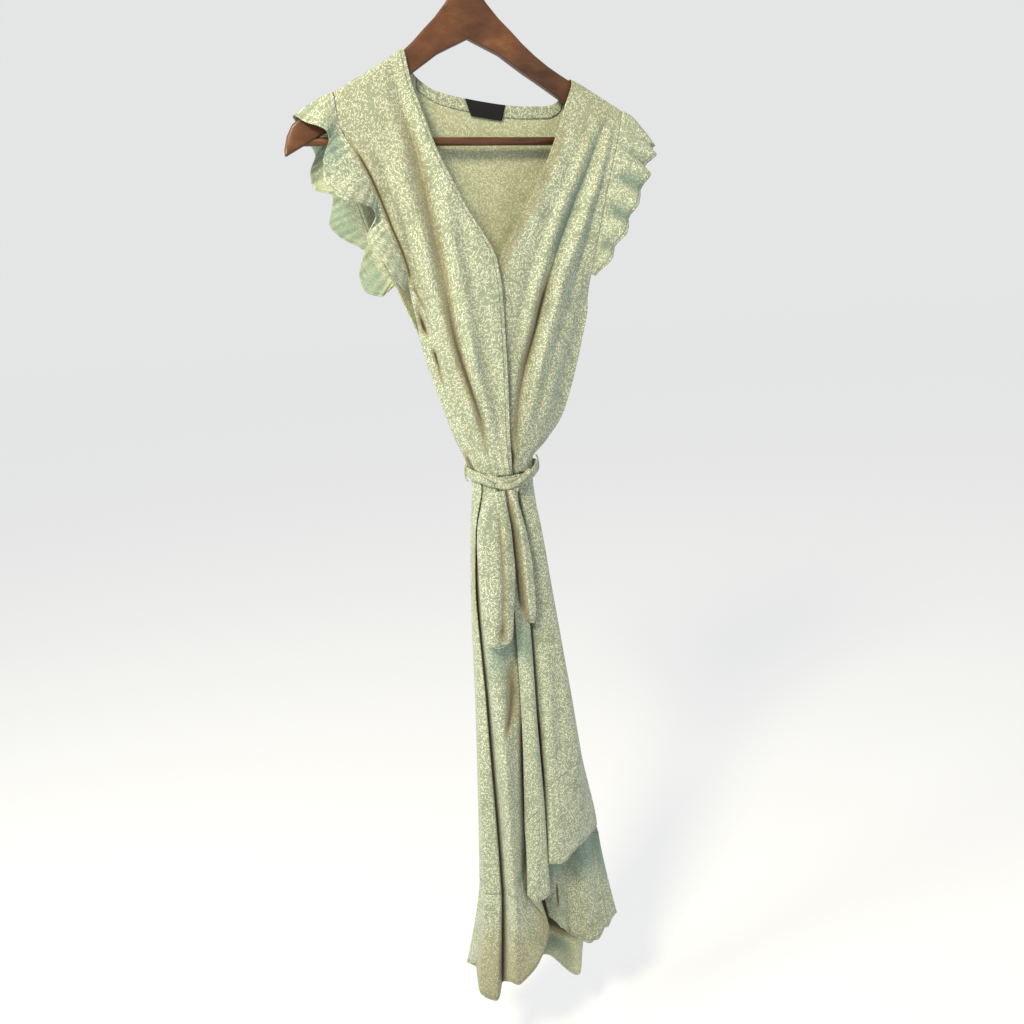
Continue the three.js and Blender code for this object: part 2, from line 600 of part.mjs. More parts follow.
const BACK_SHARES = BACK_TOP.map((row) => (row.x - BACK_FROM_X) / BACK_WIDE);

function bodiceBack(s, t) {
  const top = smooth(BACK_SHARES, BACK_TOP.map((row) => row.z), s);
  const topY = smooth(BACK_SHARES, BACK_TOP.map((row) => row.y), s);
  const z = lerp(top, WAIST_Z + SEAM_GAP / 2, t);
  const x = lerp(read(LEFT_SIDE, "z", "backX", z), read(RIGHT_SIDE, "z", "backX", z), s);
  const near = s < 0.5 ? read(LEFT_SIDE, "z", "backY", z) : read(RIGHT_SIDE, "z", "backY", z);
  const inner = lerp(near, read(BODICE, "z", "back", z), shoulderOf(Math.min(s, 1 - s) / 0.3));
  const gather = BACK_GATHER_DEPTH * THREE.MathUtils.smoothstep(-z, 320, 540) * shoulderOf(Math.min(s, 1 - s) / 0.1);
  const hung = drawnIn(inner + gather * Math.cos(2 * Math.PI * BACK_GATHERS * s), x, z, 24);
  const y = Math.min(Math.max(hung, topY), Math.max(topY, arch(top - z)) + Math.max(0, top - z - ARCH_DROP) * 0.35);
  return [x, Math.max(y, SEAM_GAP / 2), z];
}

const BODICE_DOWN = [0, 0.0012, 0.004, 0.0105, 0.03, 0.06, 0.1, 0.16, 0.22, 0.28, 0.34, 0.4, 0.46,
  0.52, 0.58, 0.64, 0.7, 0.76, 0.82, 0.87, 0.91, 0.94, 0.97, 1];

// Shoulder and side seams lie on the plane y = 0, the waist seam on a level plane
function bodiceSquare(edge, point) {
  if (edge === "bottom") return "z";
  return Math.abs(point.y) < 1.4 ? "y" : undefined;
}

addNode(
  "bodice_front_over",
  wall({ mid: bodiceOver, across: range(14), down: BODICE_DOWN, square: bodiceSquare }),
  "cloth",
);
addNode(
  "bodice_front_under",
  wall({ mid: bodiceUnder, across: range(14), down: BODICE_DOWN, square: bodiceSquare }),
  "cloth",
);
addNode(
  "bodice_back",
  wall({ mid: bodiceBack, across: BACK_SHARES, down: BODICE_DOWN, square: bodiceSquare }),
  "cloth",
);

// A line through the fold lines of a skirt table at one height
function foldLine(folds, z, s) {
  const xs = folds.map((row) => smooth(SKIRT_HEIGHTS, row.x, z));
  const ys = folds.map((row) => smooth(SKIRT_HEIGHTS, row.y, z));
  const places = range(folds.length - 1);
  return [bend(places, xs, s), bend(places, ys, s)];
}

// A rounder line than smooth: its tangents follow the neighbours on both sides
function bend(places, values, at) {
  const last = places.length - 1;
  let i = 0;
  while (i < last - 1 && places[i + 1] < at) i += 1;
  const span = places[i + 1] - places[i];
  const k = (at - places[i]) / span;
  const slope = (j) => {
    const a = Math.max(0, j - 1);
    const b = Math.min(last, j + 1);
    return ((values[b] - values[a]) / (places[b] - places[a])) * 0.8;
  };
  const k2 = k * k;
  const k3 = k2 * k;
  return (
    (2 * k3 - 3 * k2 + 1) * values[i] +
    (k3 - 2 * k2 + k) * span * slope(i) +
    (3 * k2 - 2 * k3) * values[i + 1] +
    (k3 - k2) * span * slope(i + 1)
  );
}

function hemPlace(hem, column, s) {
  return bend(range(hem.length - 1), hem.map((row) => row[column]), s);
}

// Keeps a side seam on its own side of the plane y = 0
const onSide = (y, side) => (side < 0 ? Math.min(y, -SEAM_GAP / 2) : Math.max(y, SEAM_GAP / 2));

function skirtPanel(folds, hem, side) {
  return (s, t) => {
    const foot = hemPlace(hem, "seamZ", s) + HEM_SEAM_GAP / 2;
    const z = lerp(WAIST_Z - SEAM_GAP / 2, foot, t);
    const [x, y] = foldLine(folds, z, s);
    return [x, onSide(y, side), z];
  };
}

function hemFrill(folds, hem, side) {
  return (s, t) => {
    const seam = hemPlace(hem, "seamZ", s);
    const [topX, topY] = foldLine(folds, seam, s);
    const ease = t ** 1.25;
    const x = lerp(topX, hemPlace(hem, "x", s), ease);
    const y = lerp(topY, hemPlace(hem, "y", s), ease);
    return [x, onSide(y, side), lerp(seam - HEM_SEAM_GAP / 2, hemPlace(hem, "z", s), t)];
  };
}

const SKIRTS = [
  { name: "over", folds: OVER_SKIRT, hem: OVER_HEM, side: -1, perFold: 3, start: "y", end: undefined },
  { name: "under", folds: UNDER_SKIRT, hem: UNDER_HEM, side: -1, perFold: 3, start: undefined, end: "y" },
  { name: "back", folds: BACK_SKIRT, hem: BACK_HEM, side: 1, perFold: 3, start: "y", end: "y" },
];
for (const { name, folds, hem, side, perFold, start, end } of SKIRTS) {
  const across = range((folds.length - 1) * perFold);
  const edges = { start, end, top: "z", bottom: "z" };
  addNode(
    "skirt_" + name,
    wall({
      mid: skirtPanel(folds, hem, side),
      across,
      down: [0, 0.03, 0.07, 0.12, 0.18, 0.25, 0.34, 0.44, 0.55, 0.66, 0.77, 0.89, 1],
      square: (edge) => edges[edge],
    }),
    "cloth",
  );
  addNode(
    "hem_frill_" + name,
    wall({
      mid: hemFrill(folds, hem, side),
      across,
      down: range(6),
      square: (edge) => (edge === "bottom" ? undefined : edges[edge]),
    }),
    "cloth",
  );
}

// Armhole frills: the seam line runs up the front of the armhole, over the shoulder and down the back
function armholeFrill(table, sideTable, outward, sagPower) {
  const places = range(table.length - 1);
  const topZ = sideTable[0].z;
  const seam = table.map(({ side, z }) => {
    if (side === 0) return { x: sideTable[0].frontX, y: 0, z };
    const front = side < 0;
    const x = read(sideTable, "z", front ? "frontX" : "backX", z);
    const y = read(sideTable, "z", front ? "frontY" : "backY", z);
    const reach = arch(topZ - z) + Math.max(0, topZ - z - ARCH_DROP) * 0.35;
    return { x, y: front ? Math.max(y, -reach) : Math.min(y, reach), z };
  });
  return (s, t) => {
    const column = (values) => bend(places, values, s);
    const x = column(seam.map((p) => p.x)) + outward * (FRILL_GAP + t * column(table.map((row) => row.out)));
    const y = column(seam.map((p) => p.y)) + t * column(table.map((row) => row.lean));
    const sag = t ** sagPower;
    return [x, y, column(seam.map((p) => p.z)) - sag * column(table.map((row) => row.drop))];
  };
}

addNode(
  "armhole_frill_left",
  wall({
    mid: armholeFrill(LEFT_FRILL, LEFT_SIDE, -1, LEFT_SAG),
    across: range((LEFT_FRILL.length - 1) * 2),
    down: range(4),
    square: () => "x",
  }),
  "cloth",
);
addNode(
  "armhole_frill_right",
  wall({
    mid: armholeFrill(RIGHT_FRILL, RIGHT_SIDE, 1, RIGHT_SAG),
    across: range((RIGHT_FRILL.length - 1) * 2),
    down: range(4),
    square: () => "x",
  }),
  "cloth",
);

// What lies on the back piece: its own points moved towards the front
function onBack(x, deep, lift) {
  const s = (x - BACK_FROM_X) / BACK_WIDE;
  const top = smooth(BACK_SHARES, BACK_TOP.map((row) => row.z), s);
  const t = deep / (top - WAIST_Z);
  const [px, py, pz] = bodiceBack(s, t);
  return [px, py - lift, pz];
}

const facingLift = CLOTH + LAY_GAP;
addNode(
  "back_neck_facing",
  wall({
    mid: (s, t) => onBack(lerp(FACING_FROM_X, FACING_TO_X, s), 1 + t * FACING_DEEP, facingLift),
    across: range(16),
    down: [0, 0.5, 1],
  }),
  "cloth",
);
addNode(
  "neck_label",
  wall({
    mid: (s, t) =>
      onBack(
        lerp(LABEL_FROM_X + LABEL_TAPER * t, LABEL_TO_X - LABEL_TAPER * t, s),
        0.5 + t * LABEL_DEEP,
        facingLift + CLOTH + LAY_GAP,
      ),
    across: range(6),
    down: [0, 0.5, 1],
  }),
  "label",
);

// Belt: a flat ring round the waist that sags at the front, a crossed half knot and two hanging ends
const beltZ = (angle) => BELT_Z - BELT_SAG * Math.max(0, -Math.sin(angle)) ** 2;

function ring() {
  const around = 48;
  const section = [
    [-1, 0.7],
    [-0.5, 1],
    [0.5, 1],
    [1, 0.7],
    [1, -0.7],
    [0.5, -1],
    [-0.5, -1],
    [-1, -0.7],
  ];
  const points = [];
  const faces = [];
  for (let i = 0; i < around; i += 1) {
    const angle = (2 * Math.PI * i) / around;
    for (const [out, up] of section) {
      const away = (out * BELT_THICK) / 2;
      points.push(
        new THREE.Vector3(
          (BELT_RX + away) * Math.cos(angle),
          BELT_CENTRE_Y + (BELT_RY + away) * Math.sin(angle),
          beltZ(angle) + (up * BELT_HIGH) / 2,
        ),
      );
    }
  }
  const n = section.length;
  for (let i = 0; i < around; i += 1) {
    for (let k = 0; k < n; k += 1) {
      const a = i * n + k;
      const b = i * n + ((k + 1) % n);
      const c = ((i + 1) % around) * n + ((k + 1) % n);
      const d = ((i + 1) % around) * n + k;
      faces.push(a, b, c, a, c, d);
    }
  }
  return closed(points, faces);
}
addNode("belt_band", ring(), "cloth");

// One strand of the knot: a flat oval tube through three points
function strand(points, high, thick) {
  const curve = new THREE.CatmullRomCurve3(points.map((p) => new THREE.Vector3(...p)));
  const section = new THREE.Shape().absellipse(0, 0, thick / 2, high / 2, 0, 2 * Math.PI);
  return solid(new THREE.ExtrudeGeometry(section, { steps: 12, curveSegments: 5, extrudePath: curve }));
}
const knot = strand([[-24, -31, -607], [-8, -35, -613], [6, -35, -612], [21, -32, -604]], 9, 5)
  .add(strand([[-15, -34.7, -603], [-9, -38.2, -607], [-5, -37.7, -613], [-4, -35.3, -619]], 9, 5));
addNode("belt_knot", geometryOf(knot), "cloth");

function tail(table) {
  return (s, t) => {
    const z = lerp(table[0].z, table[table.length - 1].z, t);
    const turn = (s - 0.5) * Math.PI * 1.1;
    const half = (read(table, "z", "right", z) - read(table, "z", "left", z)) / 2;
    const centre = (read(table, "z", "right", z) + read(table, "z", "left", z)) / 2;
    const x = centre + (half * Math.sin(turn)) / Math.sin(Math.PI / 2);
    const y = read(table, "z", "edgeY", z) - read(table, "z", "deep", z) * Math.cos(turn);
    return [x, y, z];
  };
}
addNode("belt_end_left", wall({ mid: tail(LEFT_TAIL), across: range(10), down: range(14) }), "cloth");
addNode("belt_end_right", wall({ mid: tail(RIGHT_TAIL), across: range(8), down: range(12) }), "cloth");

for (const { name, x, side } of CARRIERS) {
  const curve = new THREE.CatmullRomCurve3([
    new THREE.Vector3(x + side * 1.6, -2, BELT_Z - 11),
    new THREE.Vector3(x + side * 4.6, -2, BELT_Z - 5),
    new THREE.Vector3(x + side * 4.6, -2, BELT_Z + 5),
    new THREE.Vector3(x + side * 2.4, -2, BELT_Z + 11),
  ]);
  const section = new THREE.Shape().absarc(0, 0, CARRIER_WIRE, 0, 2 * Math.PI);
  addNode(name, new THREE.ExtrudeGeometry(section, { steps: 10, curveSegments: 4, extrudePath: curve }), "cloth");
}

export default group;
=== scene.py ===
import math

import bpy
import numpy as np
from mathutils import Matrix, Vector


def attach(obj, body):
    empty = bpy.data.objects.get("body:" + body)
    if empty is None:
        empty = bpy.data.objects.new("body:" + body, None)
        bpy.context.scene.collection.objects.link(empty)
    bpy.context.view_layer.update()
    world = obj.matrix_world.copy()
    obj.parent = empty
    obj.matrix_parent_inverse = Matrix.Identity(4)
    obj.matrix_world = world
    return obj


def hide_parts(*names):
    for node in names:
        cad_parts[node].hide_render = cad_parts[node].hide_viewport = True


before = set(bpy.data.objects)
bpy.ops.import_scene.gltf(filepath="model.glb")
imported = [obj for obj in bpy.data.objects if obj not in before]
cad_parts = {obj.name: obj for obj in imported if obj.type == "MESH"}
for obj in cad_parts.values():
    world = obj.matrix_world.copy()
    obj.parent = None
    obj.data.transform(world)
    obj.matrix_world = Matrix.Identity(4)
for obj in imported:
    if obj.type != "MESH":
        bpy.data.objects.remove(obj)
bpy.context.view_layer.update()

# The hanger's two arms: one length of dark stained hardwood, 12 mm thick, widest under the neck
# and drawn out to a point at each end, with all its edges rounded and a satin lacquer.
HANGER_TILT = math.radians(1.0)
ARM_STATIONS = [
    # distance from the middle, top and underside of the arm, thickness, all in mm
    (0, -80.5, -130.5, 11.6),
    (13, -80.5, -136.5, 11.6),
    (22, -94, -140.5, 11.8),
    (35, -109, -146.5, 12),
    (49, -122, -156, 12),
    (61, -134, -164, 12),
    (75, -146, -172.5, 12),
    (90, -157, -182, 12),
    (105, -166, -191.5, 12),
    (120, -174.5, -201, 12),
    (138, -184, -212.5, 12),
    (155, -193, -223, 12),
    (172, -202.5, -232, 12),
    (186, -210.5, -239.5, 11.8),
    (196, -218.5, -245, 11),
    (202, -229, -248.3, 9.5),
    (206, -243, -250.6, 6.5),
]


class Level:
    """A value that varies over a surface; arithmetic on it adds the Math nodes."""

    def __init__(self, finish, socket):
        self.finish = finish
        self.socket = socket

    def worked(self, operation, *values):
        return self.finish.node("ShaderNodeMath", {"operation": operation}, dict(enumerate(values)))

    def __add__(self, other):
        return self.worked("ADD", self, other)

    def __sub__(self, other):
        return self.worked("SUBTRACT", self, other)

    def __rsub__(self, other):
        return self.worked("SUBTRACT", other, self)

    def __mul__(self, other):
        return self.worked("MULTIPLY", self, other)

    def __abs__(self):
        return self.worked("ABSOLUTE", self)

    def within(self, low, high):
        """0 below low, 1 above high and a soft step between."""
        return self.finish.node(
            "ShaderNodeMapRange",
            {"interpolation_type": "SMOOTHSTEP"},
            {"Value": self, "From Min": low, "From Max": high},
        )


class Finish:
    """A material with one Principled shader; node() adds any other node."""

    def __init__(self, name, **fixed):
        self.material = bpy.data.materials.new(name)
        self.material.use_nodes = True
        self.tree = self.material.node_tree
        self.skin = self.tree.nodes["Principled BSDF"]
        for socket, value in fixed.items():
            self.skin.inputs[socket.replace("_", " ")].default_value = value

    def node(self, kind, settings=None, inputs=None, output=0):
        made = self.tree.nodes.new(kind)
        for name, value in (settings or {}).items():
            if name == "stops":
                ramp = made.color_ramp.elements
                while len(ramp) < len(value):
                    ramp.new(0.5)
                for stop, (place, colour) in zip(ramp, value):
                    stop.position = place
                    stop.color = (*colour, 1)
            else:
                setattr(made, name, value)
        for key, value in (inputs or {}).items():
            if isinstance(value, Level):
                self.tree.links.new(value.socket, made.inputs[key])
            else:
                made.inputs[key].default_value = value
        return Level(self, made.outputs[output])

    def blend(self, share, first, second):
        """A colour between two, each a colour or a Level; 0 is the node's factor, 6 and 7 its two colours."""
        colours = [c if isinstance(c, Level) else (*c, 1) for c in (first, second)]
        return self.node(
            "ShaderNodeMix", {"data_type": "RGBA"}, {0: share, 6: colours[0], 7: colours[1]}, output=2
        )

    def paint(self, **sockets):
        for name, value in sockets.items():
            self.tree.links.new(value.socket, self.skin.inputs[name.replace("_", " ")])

    def bump(self, height, distance, strength=1.0, under=None):
        inputs = {"Height": height, "Distance": distance, "Strength": strength}
        if under is not None:
            inputs["Normal"] = under
        return self.node("ShaderNodeBump", None, inputs)


def stained_wood(name, grain):
    """Dark walnut stain; grain is the stretch of the figure along X, Y and Z."""
    wood = Finish(name, Specular_IOR_Level=0.35, Coat_Weight=0.16, Coat_Roughness=0.25)
    place = wood.node("ShaderNodeTexCoord", output=3)
    along = wood.node("ShaderNodeMapping", None, {"Vector": place, "Scale": grain})
    noise = {"Vector": along, "Scale": 210.0, "Detail": 6.0, "Roughness": 0.6}
    pores = wood.node("ShaderNodeTexNoise", None, noise)
    noise = {"Vector": along, "Scale": 42.0, "Detail": 3.0, "Distortion": 0.7}
    figure = wood.node("ShaderNodeTexNoise", None, noise)
    stops = [(0.3, (0.022, 0.007, 0.002)), (0.55, (0.092, 0.033, 0.0095)), (0.78, (0.23, 0.094, 0.028))]
    tone = wood.node("ShaderNodeValToRGB", {"stops": stops}, {"Fac": figure * 0.55 + pores * 0.45})
    wood.paint(
        Base_Color=tone,
        Roughness=pores.within(0.35, 0.7) * 0.16 + 0.3,
        Normal=wood.bump(pores, 0.00018, 0.6),
    )
    return wood


def only_selected(piece):
    for other in bpy.context.selected_objects:
        other.select_set(False)
    piece.select_set(True)
    bpy.context.view_layer.objects.active = piece


def face_outward(piece):
    only_selected(piece)
    bpy.ops.object.mode_set(mode="EDIT")
    bpy.ops.mesh.select_all(action="SELECT")
    bpy.ops.mesh.normals_make_consistent(inside=False)
    bpy.ops.object.mode_set(mode="OBJECT")


def hang_from_hook(piece):
    """Turns a piece of the hanger about the point where the rail bears: its right end hangs lower."""
    piece.data.transform(Matrix.Rotation(HANGER_TILT, 4, "Y"))
    piece.data.update()


reached, top, low, thick = ARM_STATIONS[0]
bpy.ops.mesh.primitive_plane_add(size=1, location=(0, 0, (top + low) / 2000), rotation=(0, math.pi / 2, 0))
arms = bpy.context.object
arms.name = "hanger_arms_wood"
arms.scale = ((top - low) / 1000, thick / 1000, 1)
bpy.ops.object.transform_apply(location=True, rotation=True, scale=True)
bpy.ops.object.mode_set(mode="EDIT")
bpy.ops.mesh.select_all(action="SELECT")
for out, next_top, next_low, wide in ARM_STATIONS[1:]:
    step = (out - reached, 0, (next_top + next_low - top - low) / 2)
    bpy.ops.mesh.extrude_region_move(TRANSFORM_OT_translate={"value": [d / 1000 for d in step]})
    bpy.ops.transform.resize(
        value=(1, wide / thick, (next_top - next_low) / (top - low)),
        center_override=(out / 1000, 0, (next_top + next_low) / 2000),
    )
    reached, top, low, thick = out, next_top, next_low, wide
bpy.ops.mesh.select_all(action="DESELECT")
bpy.ops.object.mode_set(mode="OBJECT")
for face in arms.data.polygons:
    face.select = abs(face.center.x) < 0.0001
bpy.ops.object.mode_set(mode="EDIT")
bpy.ops.mesh.delete(type="FACE")
bpy.ops.object.mode_set(mode="OBJECT")
mirror = arms.modifiers.new("other arm", "MIRROR")
bpy.ops.object.modifier_apply(modifier=mirror.name)
face_outward(arms)
rounding = arms.modifiers.new("rounded edges", "BEVEL")
rounding.width, rounding.segments, rounding.limit_method = 0.0026, 3, "ANGLE"
rounding.angle_limit = math.radians(50)
bpy.ops.object.modifier_apply(modifier=rounding.name)
bpy.ops.object.shade_smooth_by_angle(angle=math.radians(40))
hang_from_hook(arms)
arms.data.materials.append(stained_wood("walnut_arms", (0.16, 1.0, 0.3)).material)
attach(arms, "root")
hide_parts("hanger_arms")

# The trouser bar: a 9 mm dowel of the same stained wood, set into a blind hole in each arm.
BAR_HEIGHT = -0.235
BAR_RADIUS = 0.0045
BAR_LENGTH = 0.372
bpy.ops.mesh.primitive_cylinder_add(
    vertices=40,
    radius=BAR_RADIUS,
    depth=BAR_LENGTH,
    location=(0, 0, BAR_HEIGHT),
    rotation=(0, math.pi / 2, 0),
)
bar = bpy.context.object
bar.name = "hanger_bar_wood"
bpy.ops.object.transform_apply(location=True, rotation=True, scale=True)
eased = bar.modifiers.new("eased ends", "BEVEL")
eased.width, eased.segments, eased.limit_method = 0.0008, 2, "ANGLE"
bpy.ops.object.modifier_apply(modifier=eased.name)
bpy.ops.object.shade_smooth_by_angle(angle=math.radians(40))
hang_from_hook(bar)
bar.data.materials.append(stained_wood("walnut_bar", (0.12, 1.0, 1.0)).material)
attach(bar, "root")
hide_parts("hanger_bar")

# The hook: a 4 mm steel wire with a satin polish, set in the crown of the wood and bent to a round hook
# that goes over a rail.
WIRE_RADIUS = 0.002
HOOK_RADIUS = 0.022
STEM_FOOT = -0.100
STEM_HEAD = -0.054


def round_wire(name, places, radius, fineness):
    """A wire or thread of one thickness through places in metres."""
    line = bpy.data.curves.new(name, "CURVE")
    line.dimensions = "3D"
    line.bevel_depth = radius
    line.bevel_resolution = fineness
    line.use_fill_caps = True
    run = line.splines.new("POLY")
    run.points.add(len(places) - 1)
    for point, place in zip(run.points, places):
        point.co = (*place, 1)
    piece = bpy.data.objects.new(name, line)
    bpy.context.collection.objects.link(piece)
    only_selected(piece)
    bpy.ops.object.convert(target="MESH")
    return piece


hook_middle = -HOOK_RADIUS + WIRE_RADIUS
hook_line = [(0, 0, STEM_FOOT + (STEM_HEAD - STEM_FOOT) * k / 6) for k in range(6)]
for k in range(13):
    share = k / 12
    ease = share * share * (3 - 2 * share)
    hook_line.append((HOOK_RADIUS * ease, 0, STEM_HEAD + (hook_middle - STEM_HEAD) * share))
for k in range(1, 61):
    turn = k / 60 * math.radians(243)
    hook_line.append((HOOK_RADIUS * math.cos(turn), 0, hook_middle + HOOK_RADIUS * math.sin(turn)))
hook = round_wire("hanger_hook_steel", hook_line, WIRE_RADIUS, 6)
bpy.ops.object.shade_smooth_by_angle(angle=math.radians(50))
hang_from_hook(hook)
steel = Finish("satin_steel", Metallic=1.0, Base_Color=(0.56, 0.55, 0.54, 1))
place = steel.node("ShaderNodeTexCoord", output=3)
along = steel.node("ShaderNodeMapping", None, {"Vector": place, "Scale": (1.0, 1.0, 0.15)})
drawn = steel.node("ShaderNodeTexNoise", None, {"Vector": along, "Scale": 900.0, "Detail": 3.0})
steel.paint(Roughness=drawn * 0.22 + 0.2, Normal=steel.bump(drawn, 0.00005, 0.4))
hook.data.materials.append(steel.material)
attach(hook, "root")
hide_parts("hanger_hook")

# The back of the bodice: one piece of light crepe, sewn to the fronts at the shoulders and sides.
# It hangs from the wood over a narrow arch and is drawn in by the belt.
WAIST = -606.0
CREPE_THICK = 0.0008
SEAM_GAP = 0.15
ARCH_OUT = 8.5
ARCH_DROP = 3.2
ARCH_SPREAD = 0.35
LEFT_SIDE = [
    # z, then x and y of the front's edge and of the back's edge
    (-184, -154, -8.5, -154, 8.5), (-214, -153, -13, -153, 12), (-239, -143, -15, -149, 13),
    (-268, -129, -16, -143, 14), (-321, -111, -16, -128, 14), (-366, -97, -15, -110, 12),
    (-401, -92, -11, -98, 9), (-430, -86, -4, -88, 3.5), (-442, -84.5, 0, -84.5, 0),
    (-470, -79, 0, -79, 0), (-503, -70.5, 0, -70.5, 0), (-534, -61.5, 0, -61.5, 0),
    (-555, -55, 0, -55, 0), (-590, -41.5, 0, -41.5, 0), (-606, -37.5, 0, -37.5, 0),
]
RIGHT_SIDE = [
    (-205.5, 173, -8.5, 173, 8.5), (-221, 168, -13, 173, 12), (-246, 160, -17, 170, 13),
    (-280, 149, -19, 163, 14), (-339, 133, -18, 149, 13), (-385, 123, -11, 131, 8),
    (-405, 121, -4, 123.5, 3.5), (-417, 121, 0, 121, 0), (-460, 111, 0, 111, 0), (-505, 97, 0, 97, 0),
    (-546, 80, 0, 80, 0), (-574, 57, 0, 57, 0), (-592, 38.5, 0, 38.5, 0), (-606, 36.5, 0, 36.5, 0),
]
BACK_TOP = [
    # x, y and z of the upper edge, from the viewer's left to right
    (-154, 0, -184), (-134, 0, -173.2), (-114, 0, -162.5), (-95, 0, -151.6), (-79, 0, -141.8),
    (-76, 6, -140), (-73, 9, -146), (-66, 10.5, -158), (-58, 11.5, -168), (-40, 12, -179.5),
    (-12, 12.5, -187), (15, 12.5, -192), (40, 12.5, -195.5), (65, 12.5, -197), (88, 12, -197),
    (101, 11, -193), (108, 9.5, -184), (112, 6, -171), (115, 0, -172.2), (129, 0, -180.6),
    (144, 0, -189), (159, 0, -197.5), (173, 0, -205.5),
]
BACK_DEPTH = [
    # z, how far the middle of the back stands behind the hanger
    (-140, 8.5), (-173, 10), (-200, 12.5), (-250, 16), (-304, 19), (-366, 22), (-405, 23), (-500, 24),
    (-606, 24),
]


def bent(k, here, lean_here, after, lean_after):
    """A smooth line from one place (k is 0) to the next (k is 1) with a given lean at both."""
    return (
        (2 * k**3 - 3 * k**2 + 1) * here
        + (k**3 - 2 * k**2 + k) * lean_here
        + (3 * k**2 - 2 * k**3) * after
        + (k**3 - k**2) * lean_after
    )


def flow(places, values):
    """A smooth line through measured places that never overshoots them, as a function of an array."""
    order = np.argsort(places)
    at = np.asarray(places, float)[order]
    value = np.asarray(values, float)[order]
    steep = np.diff(value) / np.diff(at)
    lean = np.zeros_like(value)
    lean[0], lean[-1] = steep[0], steep[-1]
    same = steep[:-1] * steep[1:] > 0
    total = np.where(same, steep[:-1] + steep[1:], 1)
    lean[1:-1] = np.where(same, 2 * steep[:-1] * steep[1:] / total, 0)

    def line(wanted):
        u = np.clip(wanted, at[0], at[-1])
        i = np.clip(np.searchsorted(at, u, side="right") - 1, 0, len(at) - 2)
        span = at[i + 1] - at[i]
        return bent((u - at[i]) / span, value[i], span * lean[i], value[i + 1], span * lean[i + 1])

    return line


def through(lines, s):
    """A rounder line through fold lines at even steps of s; lines holds one array for each fold."""
    stack = np.stack(np.broadcast_arrays(*lines))
    last = len(lines) - 1
    i = np.clip(np.floor(s * last).astype(int), 0, last - 1)
    k = s * last - i
    pick = lambda j: np.take_along_axis(stack, np.clip(j, 0, last)[None], 0)[0]
    here, after = pick(i), pick(i + 1)
    lean_here = (after - pick(i - 1)) / np.where(i == 0, 1, 2) * 0.8
    lean_after = (pick(i + 2) - here) / np.where(i == last - 1, 1, 2) * 0.8
    return bent(k, here, lean_here, after, lean_after)


def traced(values, s):
    return through([np.full_like(s, value) for value in values], s)


def spot(*offs):
    """1 at a place and 0 well away from it; each value is a distance over the spot's half width."""
    return np.exp(-sum(off**2 for off in offs))


def mixed(a, b, share):
    return a + (b - a) * share


def eased_step(value, low, high):
    k = np.clip((value - low) / (high - low), 0, 1)
    return k * k * (3 - 2 * k)


def rounded(share):
    """From 0 at an edge to 1 inside a piece, like the quarter of an oval."""
    return np.sin(np.clip(share, 0, 1) * math.pi / 2)


def arch(depth):
    """How far the cloth stands from the middle of the wood at a depth under its top edge."""
    k = 1 - np.clip(depth, 0, ARCH_DROP) / ARCH_DROP
    return ARCH_OUT * np.sqrt(1 - k * k)


def room(depth):
    """How far a front may stand forward at a depth under the wood's top edge."""
    return arch(depth) + np.maximum(0, depth - ARCH_DROP) * ARCH_SPREAD


def ripples(x, z, seed, wide, tall, size):
    """Soft uneven wrinkles, about wide across and tall up and down, in mm."""
    pick = np.random.default_rng(seed)
    total = 0
    for _ in range(7):
        across = 2 * math.pi / (wide * pick.uniform(0.7, 1.8)) * pick.choice([-1, 1])
        upward = 2 * math.pi / (tall * pick.uniform(0.7, 2.2))
        wander = 0.8 * np.sin(z / (tall * 1.3) + pick.uniform(0, 6))
        total = total + np.sin(across * x + upward * z + wander + pick.uniform(0, 6))
    return total / 7 * size * 2


side = {}
for name, rows in (("left", LEFT_SIDE), ("right", RIGHT_SIDE)):
    heights, *columns = zip(*rows)
    for what, column in zip(("_x", "_y", "_back_x", "_back_y"), columns):
        side[name + what] = flow(heights, column)


def gathers(s, turns):
    """Small uneven pleats in mm, where a piece is drawn together by the belt or a seam."""
    around = 2 * math.pi * turns * s
    return 1.1 * np.cos(around + 2.2 * np.sin(5 * s)) + 0.7 * np.cos(1.9 * around + 1)


def drawn_in(y, x, z, deep):
    """Blends a piece into the oval that the belt draws the cloth to."""
    left, right = side["left_x"](z), side["right_x"](z)
    across = (2 * x - left - right) / (right - left)
    oval = deep * np.sqrt(np.clip(1 - across * across, 0, 1))
    return mixed(y, oval, eased_step(-z, 520, 592))


back_left = BACK_TOP[0][0]
back_wide = BACK_TOP[-1][0] - back_left
back_shares = [(x - back_left) / back_wide for x, _, _ in BACK_TOP]
back_top_z = flow(back_shares, [z for _, _, z in BACK_TOP])
back_top_y = flow(back_shares, [y for _, y, _ in BACK_TOP])
back_depth = flow(*zip(*BACK_DEPTH))


def folded(folds, x, z):
    """Depth of the troughs, each with a soft ridge at its sides, and the painted shade in their hollows, warm
    or cool.
    """
    total, painted_shade = 0, 0
    for fold in folds:
        at, middle, deep, wide, painted_shade_level = zip(*fold)
        depth = flow(at, deep)(z) * (z <= at[0]) * (z >= at[-1])
        off = (x - flow(at, middle)(z)) / flow(at, wide)(z)
        total = total + depth * (np.exp(-np.abs(off) ** 1.3) - 0.4 * spot(np.abs(off) - 2.0))
        spread = np.where(off < 0, 1.3, 0.5)
        painted_shade = painted_shade + np.clip(depth / 5, 0, 1) * flow(at, painted_shade_level)(z) * spot(off / spread)
    return total, painted_shade


